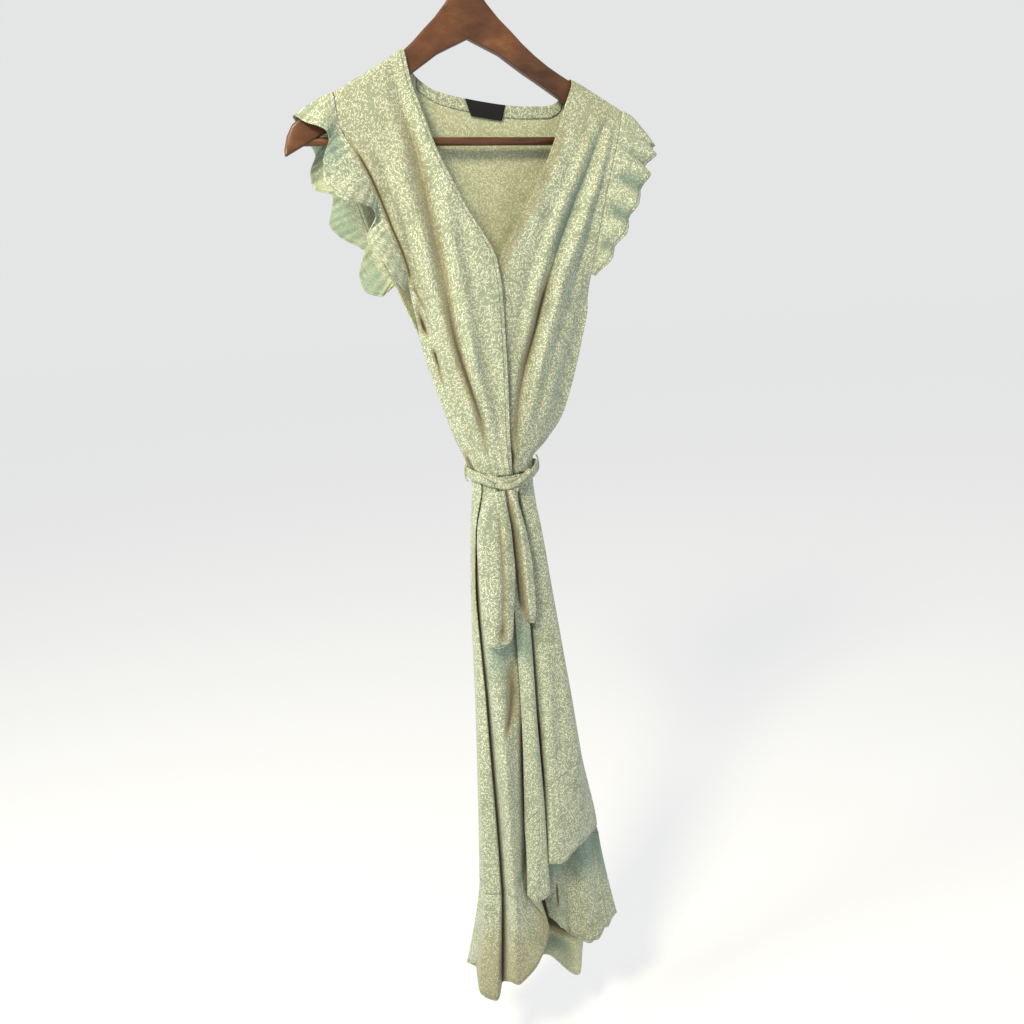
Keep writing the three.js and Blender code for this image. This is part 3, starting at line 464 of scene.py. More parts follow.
BACK_FOLDS = [
    # one list for each trough: (z, x, depth, half width, painted shade); the painted shade runs from -1,
    # cool, to 2, dark and warm
    [(-230, -122, 0, 7, 0), (-300, -100, 3, 9, 0.4), (-400, -76, 5, 9, 0.8), (-480, -52, 5.5, 8, 1.1),
     (-560, -34, 3.5, 6, 1.2), (-604, -26, 0, 5, 0)],
    [(-300, -48, 0, 8, 0), (-370, -40, 2.5, 10, 0.3), (-430, -30, 4, 10, 0.6), (-520, -18, 4.5, 8, 1),
     (-580, -10, 2, 6, 1), (-604, -8, 0, 5, 0)],
    [(-300, 58, 0, 8, 0), (-370, 50, 3, 10, -0.3), (-430, 40, 4.5, 9, -0.4), (-520, 24, 4.5, 8, 0.5),
     (-580, 12, 2, 6, 1), (-604, 8, 0, 5, 0)],
    [(-225, 152, 0, 7, 0), (-300, 128, 4, 8, -0.7), (-400, 94, 6.5, 9, -0.5), (-480, 64, 6, 8, 0.9),
     (-550, 40, 4, 6, 1.3), (-604, 24, 0, 5, 0)],
]


def bodice_back(s, t):
    top, top_y = back_top_z(s), back_top_y(s)
    z = mixed(top, WAIST + SEAM_GAP, t)
    x = mixed(side["left_back_x"](z), side["right_back_x"](z), s)
    near = np.where(s < 0.5, side["left_back_y"](z), side["right_back_y"](z))
    edge = np.minimum(s, 1 - s)
    inner = mixed(near, back_depth(z), rounded(edge / 0.3))
    pull = eased_step(-z, 320, 540) * rounded(edge / 0.1)
    inner = inner + 2.4 * pull * np.cos(10 * math.pi * s)
    inner = inner + rounded(edge / 0.12) * eased_step(top - z, 20, 120) * ripples(x, z, 11, 46, 190, 1.1)
    # the troughs of BACK_FOLDS, with their painted shade
    trough, painted_shade = folded(BACK_FOLDS, x, z)
    inner = inner - trough * rounded(edge / 0.08)
    pleats = eased_step(-z, 520, 596) * rounded(edge / 0.05) * gathers(s, 12.7)
    inner = drawn_in(inner, x, z, 24.0) - pleats
    reach = np.maximum(top_y, arch(top - z)) + np.maximum(0, top - z - ARCH_DROP) * ARCH_SPREAD
    y = np.minimum(np.maximum(inner, top_y), reach)
    return x, np.maximum(y, SEAM_GAP), z, painted_shade


FULL_TURN = 6.283
STITCHED_IN = 0.0045
SPRIGS = [
    # spacing in metres; length, width and curl of a stroke as a share of it; how few are left out
    (0.0055, 0.4, 0.075, 1.6, 0.35), (0.0042, 0.34, 0.09, 2.6, 0.45), (0.0032, 0.26, 0.11, 1.2, 0.55),
    (0.0024, 0.14, 0.13, 0.0, 0.6),
]


def sprigged_crepe(name, ground, print_colour, strength, shading="fold"):
    """Printed crepe: small curved sprigs and dashes, which face every way, over a fine uneven weave, with
    painted shade from a fold attribute.
    """
    cloth = Finish(name, Roughness=0.82, Sheen_Weight=0.2, Sheen_Roughness=0.5, Specular_IOR_Level=0.25)
    cut = cloth.node("ShaderNodeUVMap", {"uv_map": "cut"})
    fold = cloth.node("ShaderNodeAttribute", {"attribute_name": shading}, output=2)
    edge = cloth.node("ShaderNodeAttribute", {"attribute_name": "edge"}, output=2)

    def noise(scale, detail, **more):
        inputs = {"Vector": cut, "Scale": scale, "Detail": detail, **more}
        return cloth.node("ShaderNodeTexNoise", None, inputs)

    def vector_math(operation, inputs):
        return cloth.node("ShaderNodeVectorMath", {"operation": operation}, inputs)

    clumps = noise(48.0, 2.0).within(0.28, 0.62)
    ink = None
    for cell, length, width, curl, kept in SPRIGS:
        spread = vector_math("SCALE", {"Vector": cut, "Scale": 1 / cell})
        moved = vector_math("ADD", {0: spread, 1: (cell * 7e3, length * 31, 0)})
        cells = [{"voronoi_dimensions": "2D"}, {"Vector": moved, "Scale": 1.0}]
        middle = cloth.node("ShaderNodeTexVoronoi", *cells, output=2)
        chance = cloth.node("ShaderNodeTexVoronoi", *cells, output=1)
        dice = [cloth.node("ShaderNodeSeparateColor", None, {"Color": chance}, output=n) for n in range(3)]
        away = vector_math("SUBTRACT", {0: moved, 1: middle})
        facing = {"Vector": away, "Angle": dice[0] * FULL_TURN}
        turned = cloth.node("ShaderNodeVectorRotate", {"rotation_type": "Z_AXIS"}, facing)
        along = cloth.node("ShaderNodeSeparateXYZ", None, {"Vector": turned}, output=0)
        aside = cloth.node("ShaderNodeSeparateXYZ", None, {"Vector": turned}, output=1)
        bowed = abs(aside - along * along * ((dice[1] - 0.5) * curl))
        stroke = (1 - bowed.within(width * 0.45, width)) * (1 - abs(along).within(length * 0.8, length))
        mark = stroke * (dice[2] + clumps * 0.7).within(kept, kept + 0.3)
        ink = mark if ink is None else ink.worked("MAXIMUM", ink, mark)
    weave = noise(1500.0, 2.0, Roughness=0.7)
    slub = noise(55.0, 4.0, Roughness=0.6)
    dye = cloth.blend(slub.within(0.3, 0.72), ground, tuple(c * 0.84 for c in ground))
    dye = cloth.blend(weave.within(0.35, 0.8) * 0.28, dye, tuple(c * 0.6 for c in ground))
    printed = cloth.blend(ink * strength, dye, print_colour)
    # Painted shade from the fold attribute: warm tan in hollows from 0 to 1, near black in the deepest
    # creases from 1 to 2, cool teal below 0.
    printed = cloth.blend(fold.within(0.0, 1.0) * 0.6, printed, (0.21, 0.17, 0.07))
    printed = cloth.blend(fold.within(1.0, 2.0) * 0.85, printed, (0.02, 0.017, 0.009))
    printed = cloth.blend((0 - fold).within(0.0, 1.0) * 0.62, printed, (0.105, 0.18, 0.15))
    stitches = 1 - abs(edge - STITCHED_IN).within(0.0002, 0.0007)
    printed = cloth.blend(stitches * 0.45, printed, tuple(c * 0.4 for c in ground))
    rough = cloth.bump(weave, 0.00022, 0.5)
    turned_in = cloth.bump(edge.within(0.0035, 0.0052), 0.0006, 0.8, under=rough)
    cloth.paint(
        Base_Color=printed,
        Roughness=0.84 - ink * 0.14,
        Normal=cloth.bump(slub, 0.0016, 0.4, under=turned_in),
    )
    return cloth.material


crepe_out = sprigged_crepe("sage_crepe", (0.24, 0.277, 0.188), (0.71, 0.71, 0.575), 0.8)
crepe_in = sprigged_crepe("sage_crepe_inside", (0.335, 0.365, 0.225), (0.72, 0.71, 0.55), 0.65, "fold_inside")


def cloth_mesh(name, points, quads, flat, shades, materials):
    """A piece from a grid of points in mm, with its cut as the UV map and one attribute for each shade."""
    mesh = bpy.data.meshes.new(name)
    mesh.from_pydata((points / 1000).reshape(-1, 3).tolist(), [], quads)
    corner = np.empty(len(mesh.loops), dtype=np.int32)
    mesh.loops.foreach_get("vertex_index", corner)
    mesh.uv_layers.new(name="cut").data.foreach_set("uv", flat.reshape(-1, 2)[corner].ravel())
    for shade, values in shades.items():
        mesh.attributes.new(shade, "FLOAT", "POINT").data.foreach_set("value", values.ravel())
    for material in materials:
        mesh.materials.append(material)
    piece = bpy.data.objects.new(name, mesh)
    bpy.context.collection.objects.link(piece)
    only_selected(piece)
    return piece


def hang(name, place, columns, rows, outside=1, materials=None):
    """Makes a sheet of cloth from place(s, t), in mm: x, y, z, painted shade, distance from its edge, painted
    shade on the inside.
    """
    s, t = np.meshgrid(*(np.linspace(0, 1, n) if isinstance(n, int) else n for n in (columns, rows)))
    made = place(s, t)
    points = np.stack(made[:3], -1)
    number = np.arange(s.size).reshape(s.shape)
    corners = [number[:-1, :-1], number[:-1, 1:], number[1:, 1:], number[1:, :-1]]
    quads = np.stack(corners[::outside], -1).reshape(-1, 4).tolist()
    width, length = (np.linalg.norm(np.diff(points / 1000, axis=n), axis=2) for n in (1, 0))
    u = np.pad(np.cumsum(width, axis=1), ((0, 0), (1, 0)))
    u -= u[:, s.shape[1] // 2][:, None]
    v = np.pad(np.cumsum(length, axis=0), ((1, 0), (0, 0)))
    painted_shade = made[3] if len(made) > 3 else np.zeros_like(s)
    # The two fold attributes carry the painted shade for the outer and the inner faces; edge is the distance
    # from the finished edge.
    shades = {
        "fold": np.clip(painted_shade, -1, 2),
        "fold_inside": np.clip(made[5] if len(made) > 5 else painted_shade, -1, 2),
        "edge": np.clip(made[4], 0, 1) if len(made) > 4 else np.ones_like(s),
    }
    flat = np.stack([u, -v], -1)
    sheet = cloth_mesh(name, points, quads, flat, shades, materials or [crepe_out, crepe_in])
    wall = sheet.modifiers.new("thickness", "SOLIDIFY")
    wall.thickness, wall.offset, wall.material_offset, wall.material_offset_rim = CREPE_THICK, 0, 1, 0
    bpy.ops.object.modifier_apply(modifier=wall.name)
    bpy.ops.object.shade_smooth()
    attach(sheet, "root")
    return sheet


def finer(places, parts):
    last = len(places) - 1
    return np.interp(np.linspace(0, last, last * parts + 1), range(last + 1), places)


NEAR_SEAM = [0, 0.0006, 0.0015, 0.003, 0.005, 0.008, 0.013, 0.02]
BODICE_ROWS = np.concatenate([NEAR_SEAM, np.linspace(0.028, 1, 150)])
back = hang("bodice_back_crepe", bodice_back, finer(back_shares, 6), BODICE_ROWS)
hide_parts("bodice_back")

# The strip inside the back neck: the same crepe, 13 mm deep, turned in and stitched at its lower edge.
# A short plain tape, woven in black, is sewn onto its middle.
on_back_lift = 1.0


def on_back(x_from, x_to, taper, deep, lift):
    """A piece that lies on the back's own points, moved towards the front."""
    def place(s, t):
        x = mixed(x_from + taper * t, x_to - taper * t, s)
        share = (x - back_left) / back_wide
        depth = 0.3 + t * deep
        px, py, pz, _ = bodice_back(share, depth / (back_top_z(share) - WAIST))
        return px, py - lift, pz
    return place


facing = hang("back_neck_strip", on_back(-60, 107, 0, 13, on_back_lift), 90, 8, outside=-1)
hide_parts("back_neck_facing")

woven = Finish("black_tape", Roughness=0.7, Specular_IOR_Level=0.15)
tape_cut = woven.node("ShaderNodeUVMap", {"uv_map": "cut"})
ribs = {"Vector": tape_cut, "Scale": 900.0, "Distortion": 0.6}
threads = woven.node("ShaderNodeTexWave", {"bands_direction": "Y"}, ribs)
woven.paint(
    Base_Color=woven.blend(threads * 0.5, (0.006, 0.006, 0.007), (0.02, 0.02, 0.022)),
    Normal=woven.bump(threads, 0.0001, 0.6),
)
on_strip = on_back(-7, 39, 5, 17, on_back_lift * 2 + 0.5)
label = hang("neck_label_tape", on_strip, 30, 14, outside=-1, materials=[woven.material] * 2)
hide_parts("neck_label")

# The two crossed fronts: the viewer's right one goes on first, the left one laps over it. Each falls in soft
# folds from the shoulder and is gathered under the belt; the free edges are turned in and stitched.
FRONTS = [
    # z, free edge of the over front, free edge of the under front, how far both stand forward
    (-140, -76, 114, -8.5), (-173, -72, 113, -10), (-200, -65, 102, -13), (-250, -50, 79, -18),
    (-304, -26, 48, -22), (-366, 5, 8, -25.5), (-405, 8, -6, -27), (-500, 6, -18, -27),
    (-560, 5, -25, -25.5), (-590, 5, -28, -25), (-606, 5, -28, -25),
]
OVER_SHOULDER = [(0, -184), (0.25, -173.6), (0.5, -162.8), (0.75, -151.4), (1, -140.3)]
UNDER_SHOULDER = [(0, -171.8), (0.25, -178.6), (0.5, -186.6), (0.75, -195.4), (1, -205.5)]
OVER_FOLDS = [
    # one list for each trough: (z, x, depth, half width, painted shade)
    [(-150, -90, 0, 6, 0), (-200, -84, 3, 7, 0.3), (-251, -72, 6, 8, 0.7), (-313, -64, 8.5, 9, 1),
     (-371, -56, 9, 9, 1), (-434, -50, 9, 7, 1.5), (-495, -38, 7, 6, 1.8), (-553, -24, 4, 5, 1.3),
     (-606, -18, 0, 5, 0)],
    [(-210, -128, 0, 6, 0), (-260, -112, 2.4, 7, 0.2), (-330, -92, 3.4, 8, 0.3), (-400, -76, 3.2, 7, 0.3),
     (-470, -60, 2.6, 6, 0.5), (-550, -40, 2.5, 4, 0.8), (-600, -31, 0, 4, 0)],
    [(-378, -90, 0, 2, 0), (-390, -87, 3, 2.4, 2), (-405, -81, 3, 2.4, 1.8), (-424, -73, 0, 2, 0)],
    [(-400, -88, 0, 2, 0), (-412, -85, 3, 3, 1.8), (-430, -79.5, 4.5, 4, 2.3), (-441, -76, 2, 4, 2.3),
     (-444, -75, 0, 2, 0)],
    [(-450, -71.5, 0, 2, 0), (-462, -69.5, 4.5, 3, 2.2), (-478, -66.5, 3.5, 2.6, 2), (-496, -63.5, 2, 2, 1.8),
     (-514, -60, 0, 2, 0)],
    [(-558, -46, 0, 2.5, 0), (-572, -44, 2.5, 2.5, 1), (-585, -41, 4, 3, 2.2), (-600, -35, 4, 3, 2.2),
     (-606, -33, 1, 3, 1)],
    [(-230, -76, 0, 5, 0), (-300, -50, 1.2, 8, 0), (-380, -28, 2.2, 8, 0.1), (-450, -20, 2.6, 7, 0.2),
     (-520, -10, 2.4, 6, 0.3), (-575, -6, 1.5, 5, 0.4), (-606, -6, 0, 5, 0)],
]
UNDER_FOLDS = [
    # one list for each trough: (z, x, depth, half width, painted shade)
    [(-212, 155, 0, 6, 0), (-232, 143, 4, 6, -0.8), (-282, 118, 8, 8, -1), (-345, 87, 10, 8, -1),
     (-372, 75, 10, 7, 0.2), (-410, 60, 10, 7, 1.8), (-454, 44, 9.5, 7, 1.7), (-520, 23, 7, 6, 1.2),
     (-572, 15, 4, 5, 1.5), (-606, 15, 0, 5, 0)],
    [(-214, 130, 0, 6, 0), (-260, 108, 1.8, 8, 0), (-330, 70, 2.4, 9, 0), (-400, 38, 2.4, 8, 0.2),
     (-470, 18, 2, 6, 0.4), (-550, 8, 0, 6, 0)],
    [(-212, 166, 0, 5, 0), (-240, 158, 3, 5, -0.6), (-320, 128, 4, 6, -0.7), (-400, 98, 3.6, 7, -0.3),
     (-470, 70, 3.4, 7, 0), (-540, 44, 2.6, 5, 0.4), (-596, 26, 0, 5, 0)],
]
front_heights, *front_columns = zip(*FRONTS)
over_free_x, under_free_x, free_y = (flow(front_heights, column) for column in front_columns)
over_top = flow(*zip(*OVER_SHOULDER))
under_top = flow(*zip(*UNDER_SHOULDER))


def front_over(s, t):
    top = over_top(s)
    z = mixed(top, WAIST + SEAM_GAP, t)
    x = mixed(side["left_x"](z), over_free_x(z), s)
    open_y = mixed(side["left_y"](z), free_y(z), rounded(s / 0.45))
    trough, painted_shade = folded(OVER_FOLDS, x, z)
    hung = open_y + trough * rounded(s / 0.06) - 1.5 * rounded((s - 0.8) / 0.2)
    hung = hung + rounded(s / 0.15) * eased_step(top - z, 15, 90) * ripples(x, z, 3, 34, 150, 1.1)
    hung = hung + 1.4 * rounded((s - 0.86) / 0.1) * np.sin(z / 31 + 1.2) * eased_step(-z, 220, 300)
    hung = drawn_in(hung, x, z, -25.0) + eased_step(-z, 545, 600) * 0.6 * gathers(s, 3.1)
    y = np.maximum(hung, -room(top - z))
    # a groove beside the left side seam, pressed 3 mm in and painted with dark shade
    groove = spot((x - side["left_x"](z) - 3) / 2.6)
    groove = groove * eased_step(-z, 222, 260) * eased_step(z, -388, -372)
    # painted warm shading on the upper left of the over front, where the warm window light falls
    painted_shade = painted_shade + 0.3 * eased_step(z, -440, -230) * eased_step(-x, 40, 90)
    return x, np.minimum(y + 3 * groove, -SEAM_GAP), z, painted_shade + 1.8 * groove, (over_free_x(z) - x) / 1000


def front_under(s, t):
    top = under_top(s)
    z = mixed(top, WAIST + SEAM_GAP, t)
    x = mixed(under_free_x(z), side["right_x"](z), s)
    behind = 5.5 * eased_step(-z, 250, 350) * (1 - rounded((s - 0.6) / 0.4))
    free = mixed(free_y(z) + behind, side["right_y"](z), rounded((s - 0.55) / 0.45) ** 2)
    trough, painted_shade = folded(UNDER_FOLDS, x, z)
    hung = free + trough * (1 - rounded((s - 0.9) / 0.1)) * 0.9
    shown = eased_step(x, 6, 16)
    inside = shown * (1 - rounded((s - 0.85) / 0.15))
    hung = hung + inside * eased_step(top - z, 15, 90) * ripples(x, z, 5, 34, 150, 1.1)
    hung = drawn_in(hung, x, z, -20.0) + eased_step(-z, 545, 600) * 0.6 * gathers(s, 3.4) * shown
    y = np.maximum(hung, -room(top - z))
    from_edge = x - under_free_x(z)
    # painted warm shade along the under front's free edge, where its turned edge lies in shade
    painted_shade = painted_shade + 0.7 * (1 - eased_step(from_edge, 9, 14)) * eased_step(-z, 190, 260)
    from_over = x - over_free_x(z)
    # painted shadow of the over front's edge on the under front, below the bust
    painted_shade = painted_shade + 1.9 * spot((from_over - 1) / 2.2) * eased_step(-z, 370, 450)
    # painted shade, darker towards the upper right
    painted_shade = painted_shade + 0.4 * eased_step(z, -330, -230) * eased_step(x, 70, 130)
    # a painted dark spot where the over front's edge meets the belt
    painted_shade = painted_shade + 2.0 * spot((from_over - 2.5) / 3.6, (z + 586) / 9)
    return x, np.minimum(y, -SEAM_GAP), z, painted_shade, from_edge / 1000


under = hang("bodice_front_under_crepe", front_under, 110, BODICE_ROWS, outside=-1)
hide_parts("bodice_front_under")
over = hang("bodice_front_over_crepe", front_over, 100, BODICE_ROWS, outside=-1)
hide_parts("bodice_front_over")

# The armhole frills: a strip of the same crepe, gathered into each armhole seam from low on the front
# over the shoulder and down the back, with a narrow rolled hem. It stands away in waves.
LEFT_FRILL = [
    # side (-1 front, 1 back), z on the armhole, how far the hem stands out, leans forward or back, and hangs
    (-1, -384, 4, -1, 2), (-1, -372, 6, -6, 17), (-1, -354, 13, -12, 21), (-1, -337, 17, -8, 21),
    (-1, -322, 22, 1, 20), (-1, -308, 18, 4, 20), (-1, -298, 6, -2, 16), (-1, -290, 6, -9, 14),
    (-1, -280, 15, -15, 19), (-1, -268, 31, -16, 25), (-1, -254, 39, -6, 20), (-1, -238, 29, 2, 14),
    (-1, -222, 14, -2, 12), (-1, -206, 16, -9, 17), (-1, -192, 33, -3, 22), (-1, -184.9, 42, -1, 22),
    (0, -184, 43, 0, 22), (1, -184.9, 42, 1, 22), (1, -192, 36, 5, 24), (1, -208, 25, 12, 24),
    (1, -224, 24, 6, 20), (1, -242, 33, 10, 17), (1, -262, 35, 16, 14), (1, -276, 20, 8, 8),
    (1, -290, 26, 12, 9), (1, -304, 33, 16, 10), (1, -320, 27, 9, 9), (1, -336, 12, 6, 8),
    (1, -352, 24, 12, 16), (1, -366, 26, 8, 22), (1, -378, 13, 4, 16), (1, -384, 4, 1, 2),
]
RIGHT_FRILL = [
    (-1, -386, 4, -1, 2), (-1, -368, 14, -6, 8), (-1, -350, 19, -2, 10), (-1, -332, 24, -10, 14),
    (-1, -314, 30, -3, 14), (-1, -296, 30, -12, 18), (-1, -278, 38, -3, 16), (-1, -262, 38, -11, 18),
    (-1, -248, 36, -3, 20), (-1, -235, 42, -6, 22), (-1, -222, 40, -2, 26), (-1, -209.5, 38, -1, 36),
    (-1, -206.4, 37.5, 0, 38), (0, -205.5, 37.5, 0, 38), (1, -206.4, 37.5, 0, 38), (1, -209.5, 37, 1, 36),
    (1, -224, 36, 5, 30), (1, -242, 32, 14, 22), (1, -262, 28, 6, 20), (1, -284, 24, 16, 18),
    (1, -306, 20, 6, 16), (1, -328, 16, 14, 14), (1, -348, 12, 4, 10), (1, -366, 10, 6, 8),
    (1, -384, 3, 1, 2),
]
# where the frill turns its inner side out, painted in cool shade: place along the rows above, strength, half
# width
LEFT_SHADE = [
    (11.6, 1.0, 1.3), (6.6, 1.0, 0.8), (2.2, 0.4, 0.5), (20, 0.9, 1.5), (25, 1.0, 2.5), (29, 0.9, 1.2),
]
RIGHT_SHADE = [(2.0, 0.8, 0.5), (4.1, 1.0, 0.5), (6.1, 1.0, 0.5), (8.1, 0.7, 0.4)]


def armhole_frill(rows, which, top, outward, sag, curl, shade):
    seed = len(rows)
    seam = []
    for face, z, *_ in rows:
        edge = which if face <= 0 else which + "_back"
        x, y = (float(side[edge + axis](np.array(z))) for axis in ("_x", "_y"))
        reach = float(room(top - z))
        seam.append((x, min(max(y, -reach), reach), z))
    seam_x, seam_y, seam_z = zip(*seam)
    _, _, stands, leans, falls = zip(*rows)

    def place(s, t):
        out, low = traced(stands, s), traced(falls, s)
        x = traced(seam_x, s) + outward * (0.5 + t * out)
        y = traced(seam_y, s) + t * traced(leans, s)
        z = traced(seam_z, s) - t**sag * low
        free = 1 - spot((s - 0.52) / 0.05)
        puckers = np.cos(s * 330 + 2 * np.sin(s * 37 + seed)) * np.sqrt(t) * (1.1 - 0.5 * t)
        y = y + free * (0.9 * puckers + curl * t**1.3 * np.sin(s * 83 + seed))
        x = x + free * outward * 0.35 * curl * t * np.cos(s * 83 + seed + 0.6)
        # painted cool shade where the frill turns its inner side out; the outer faces get it on the front
        # half only
        painted_cool_shade = sum(strong * spot((s * (seed - 1) - at) / wide) for at, strong, wide in shade)
        painted_cool_shade = 0.95 * painted_cool_shade * eased_step(t, 0.05, 0.45)
        length = np.sqrt(out**2 + low**2) + 2
        return x, y, z, -painted_cool_shade * (s < 0.54), (1 - t) * length / 1000 + 0.0015, -painted_cool_shade

    return place


for which, rows, shade, top, outward, sag, curl, cut_size in (
    ("left", LEFT_FRILL, LEFT_SHADE, LEFT_SIDE[0][0], -1, 1.3, 1.6, (0.46, 0.035)),
    ("right", RIGHT_FRILL, RIGHT_SHADE, RIGHT_SIDE[0][0], 1, 1.7, 3, (0.40, 0.036)),
):
    strip = armhole_frill(rows, which, top, outward, sag, curl, shade)
    frill = hang(f"armhole_frill_{which}_crepe", strip, 420, 22, outside=-outward)
    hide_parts(f"armhole_frill_{which}")

# The skirt: a back, an under front and an over front, gathered into the waist seam and hanging in columns,
# each with a gathered frill on its lower edge. The over front's hem rises towards the viewer's right.
SKIRT_HEIGHTS = [-622, -670, -760, -880, -1000, -1128]
BACK_SKIRT = [
    # one row for each fold line: its x at the six heights, then its y
    ((-37.5, -42, -47, -52, -58, -64), (0, 0, 0, 0, 0, 0)),
    ((-34, -40, -46, -50, -55.5, -63.5), (9.5, 12, 16, 19, 21, 22)),
    ((-26, -32, -38, -42, -46, -50), (16.5, 16, 13, 12, 12, 12)),
    ((-14, -18, -22, -24, -26, -28), (22.5, 28, 34, 38, 40, 42)),
    ((0, -2, -3, -3, -2, -2), (24, 22, 18, 15, 14, 14)),
    ((12, 14, 17, 20, 24, 26), (23, 29, 35, 39, 41, 43)),
    ((22, 25, 31, 38, 46, 54), (18.5, 18, 16, 14, 13, 13)),
    ((31, 34, 43, 53, 68, 84), (12, 16, 21, 25, 27, 28)),
    ((36.5, 36, 45, 56, 73, 103), (0, 0, 0, 0, 0, 0)),
]
UNDER_SKIRT = [
    ((-22, -22, -18, -10, -2, 6), (-17.5, -18, -13, -10, -8, -6)),
    ((-6, -5, 2, 10, 18, 24), (-20.2, -20, -15, -12, -12, -13)),
    ((8, 11, 18, 27, 36, 44), (-19.6, -19, -13, -8, -5, -3)),
    ((20, 23, 32, 43, 55, 68), (-15.5, -18, -17, -14, -14, -15)),
    ((30, 32, 42, 53, 68, 88), (-9, -10, -8, -6, -5, -5)),
    ((36.5, 36, 45, 56, 73, 103), (0, 0, 0, 0, 0, 0)),
]
OVER_SKIRT = [
    ((-37.5, -42, -47, -52, -58, -64), (0, 0, 0, 0, 0, 0)),
    ((-35, -44, -52, -57, -63, -69), (-9, -11, -12, -14, -16, -18)),
    ((-31.5, -44, -51, -50, -50, -51.5), (-15, -20, -23, -24, -25, -26)),
    ((-29, -41, -47, -45, -44.5, -45.5), (-14, -14, -11, -10, -10, -11)),
    ((-26, -39, -44, -42, -41, -42.5), (-19, -26, -30, -32, -33, -35)),
    ((-18, -30, -33, -33, -36, -38), (-24.5, -32, -37, -40, -42, -44)),
    ((-9, -16, -17, -17, -21, -29), (-25.4, -30, -33, -34, -35, -36)),
    ((-4, -6, -4, -4, -6, -11.5), (-24.8, -25.5, -24, -28.5, -17, -17)),
    ((-1, -2, -7, -8.5, -13, -21), (-25, -30, -33.5, -35, -36, -37)),
    ((4, 3, 1, 1, 1, -3), (-25.2, -33, -39, -41, -43, -44)),
    ((7.5, 8.5, 9, 9, 10, 2), (-25.3, -32, -36, -37, -39, -40)),
    ((10, 12, 12.5, 12.5, 13.5, 5), (-23, -22.5, -18, -15, -15, -16)),
    ((12.5, 15.5, 16, 16, 17, 8), (-24.4, -31, -35.5, -37, -39, -40)),
    ((17, 22, 26, 28, 33, 30), (-23, -32, -38, -41, -43, -44)),
    ((28, 34, 42, 53, 62, 72), (-17.5, -27, -32, -36, -38, -40)),
    ((35.5, 39, 49, 64, 77, 97), (-6, -8, -9, -10, -10, -10)),
]
# one row for each fold line: height of the seam that joins the frill, then where the hem hangs (x, y, z)
BACK_HEM = [
    (-1124, -84, 0, -1236), (-1134, -88, 30, -1255), (-1138, -60, 12, -1262), (-1142, -34, 48, -1258),
    (-1146, -4, 13, -1256), (-1150, 30, 46, -1290), (-1150, 62, 16, -1308), (-1126, 82, 32, -1244),
    (-1096, 115, 0, -1219),
]
UNDER_HEM = [
    (-1066, 10, -8, -1184), (-1070, 30, -15, -1208), (-1074, 48, -3, -1232), (-1082, 71, -15, -1243),
    (-1090, 97, -5, -1234), (-1096, 115, 0, -1219),
]
OVER_HEM = [
    (-1124, -84, 0, -1236), (-1130, -88, -26, -1261), (-1130, -70, -34, -1271), (-1130, -56, -17, -1263),
    (-1130, -52, -40, -1246), (-1128, -38, -46, -1248), (-1112, -12, -44, -1225), (-1086, 8, -31, -1188),
    (-1040, -20, -38, -1134), (-1022, -9, -47, -1143), (-1008, 8, -42, -1134), (-1000, 11, -22, -1112),
    (-995, 11, -44, -1094), (-984, 30, -47, -1097), (-972, 53, -40, -1083), (-968, 96, -12, -1086),
]


def skirt_line(folds, z, s):
    return [through([flow(SKIRT_HEIGHTS, row[n])(z) for row in folds], s) for n in (0, 1)]


def hem_line(hem, n, s):
    return traced([row[n] for row in hem], s)


def seam_gap(s):
    """How far the panel and its frill each stop from the middle of their seam, in mm."""
    return 0.2 - 0.17 * eased_step(s, 0.15, 0.35)


def painted_crease_shade(folds, s):
    """Painted shade in the creases: 0 on a crest and 1 in a crease, from how each fold line stands against
    its neighbours.
    """
    deep = [abs(row[1][3]) for row in folds]
    marks = []
    for n, d in enumerate(deep):
        near = [deep[m] for m in (n - 1, n + 1) if 0 <= m < len(deep)]
        marks.append(np.full_like(s, 1.0 if len(near) == 2 and d < min(near) - 4 else 0.0))
    mark = np.clip(through(marks, s), 0, 1)
    return 0.8 * mark**2 + 1.2 * np.clip(mark - 0.45, 0, 1)


def front_shading(x, y, z, painted_shade):
    """Light and shade on the fronts beside those of the folds, and one hollow beside the left tail."""
    painted_shade = painted_shade - 0.8 * spot(((x + 26) / 24) ** 2) * eased_step(z, -868, -815) * eased_step(-z, 730, 800)
    painted_shade = painted_shade - 0.75 * spot((x - 4) / 9, (z + 806) / 34)
    painted_shade = painted_shade + 0.2 * eased_step(-z, 850, 1100) * (1 - eased_step(x, 20, 40))
    painted_shade = painted_shade + 0.7 * spot((x + 49) / 6, ((z + 730) / 95) ** 2)
    lip = spot(((x + 6) / 5) ** 2) * eased_step(-z, 815, 835) * (1 - eased_step(-z, 900, 925))
    painted_shade = painted_shade * (1 - 0.95 * lip) - 0.15 * lip
    along = np.clip((-z - 834) / 89, 0, 1)
    dent = spot((x + 16.5 + 16.5 * along**2.6) / (1.5 + 7.5 * np.sqrt(1 - along**2)))
    dent = dent * eased_step(-z, 812, 842) * (1 - eased_step(-z, 905, 930)) * (1 - lip)
    y = y + 5 * dent
    slit = eased_step(y, -36, -30) * spot(((x - 3) / 17) ** 3)
    slit = slit * eased_step(-z, 885, 925) * eased_step(z, -1060, -1010)
    return y, painted_shade + 1.6 * dent + 2.2 * slit


def clear_of_middle(y, face):
    return np.minimum(y, -SEAM_GAP) if face < 0 else np.maximum(y, SEAM_GAP)


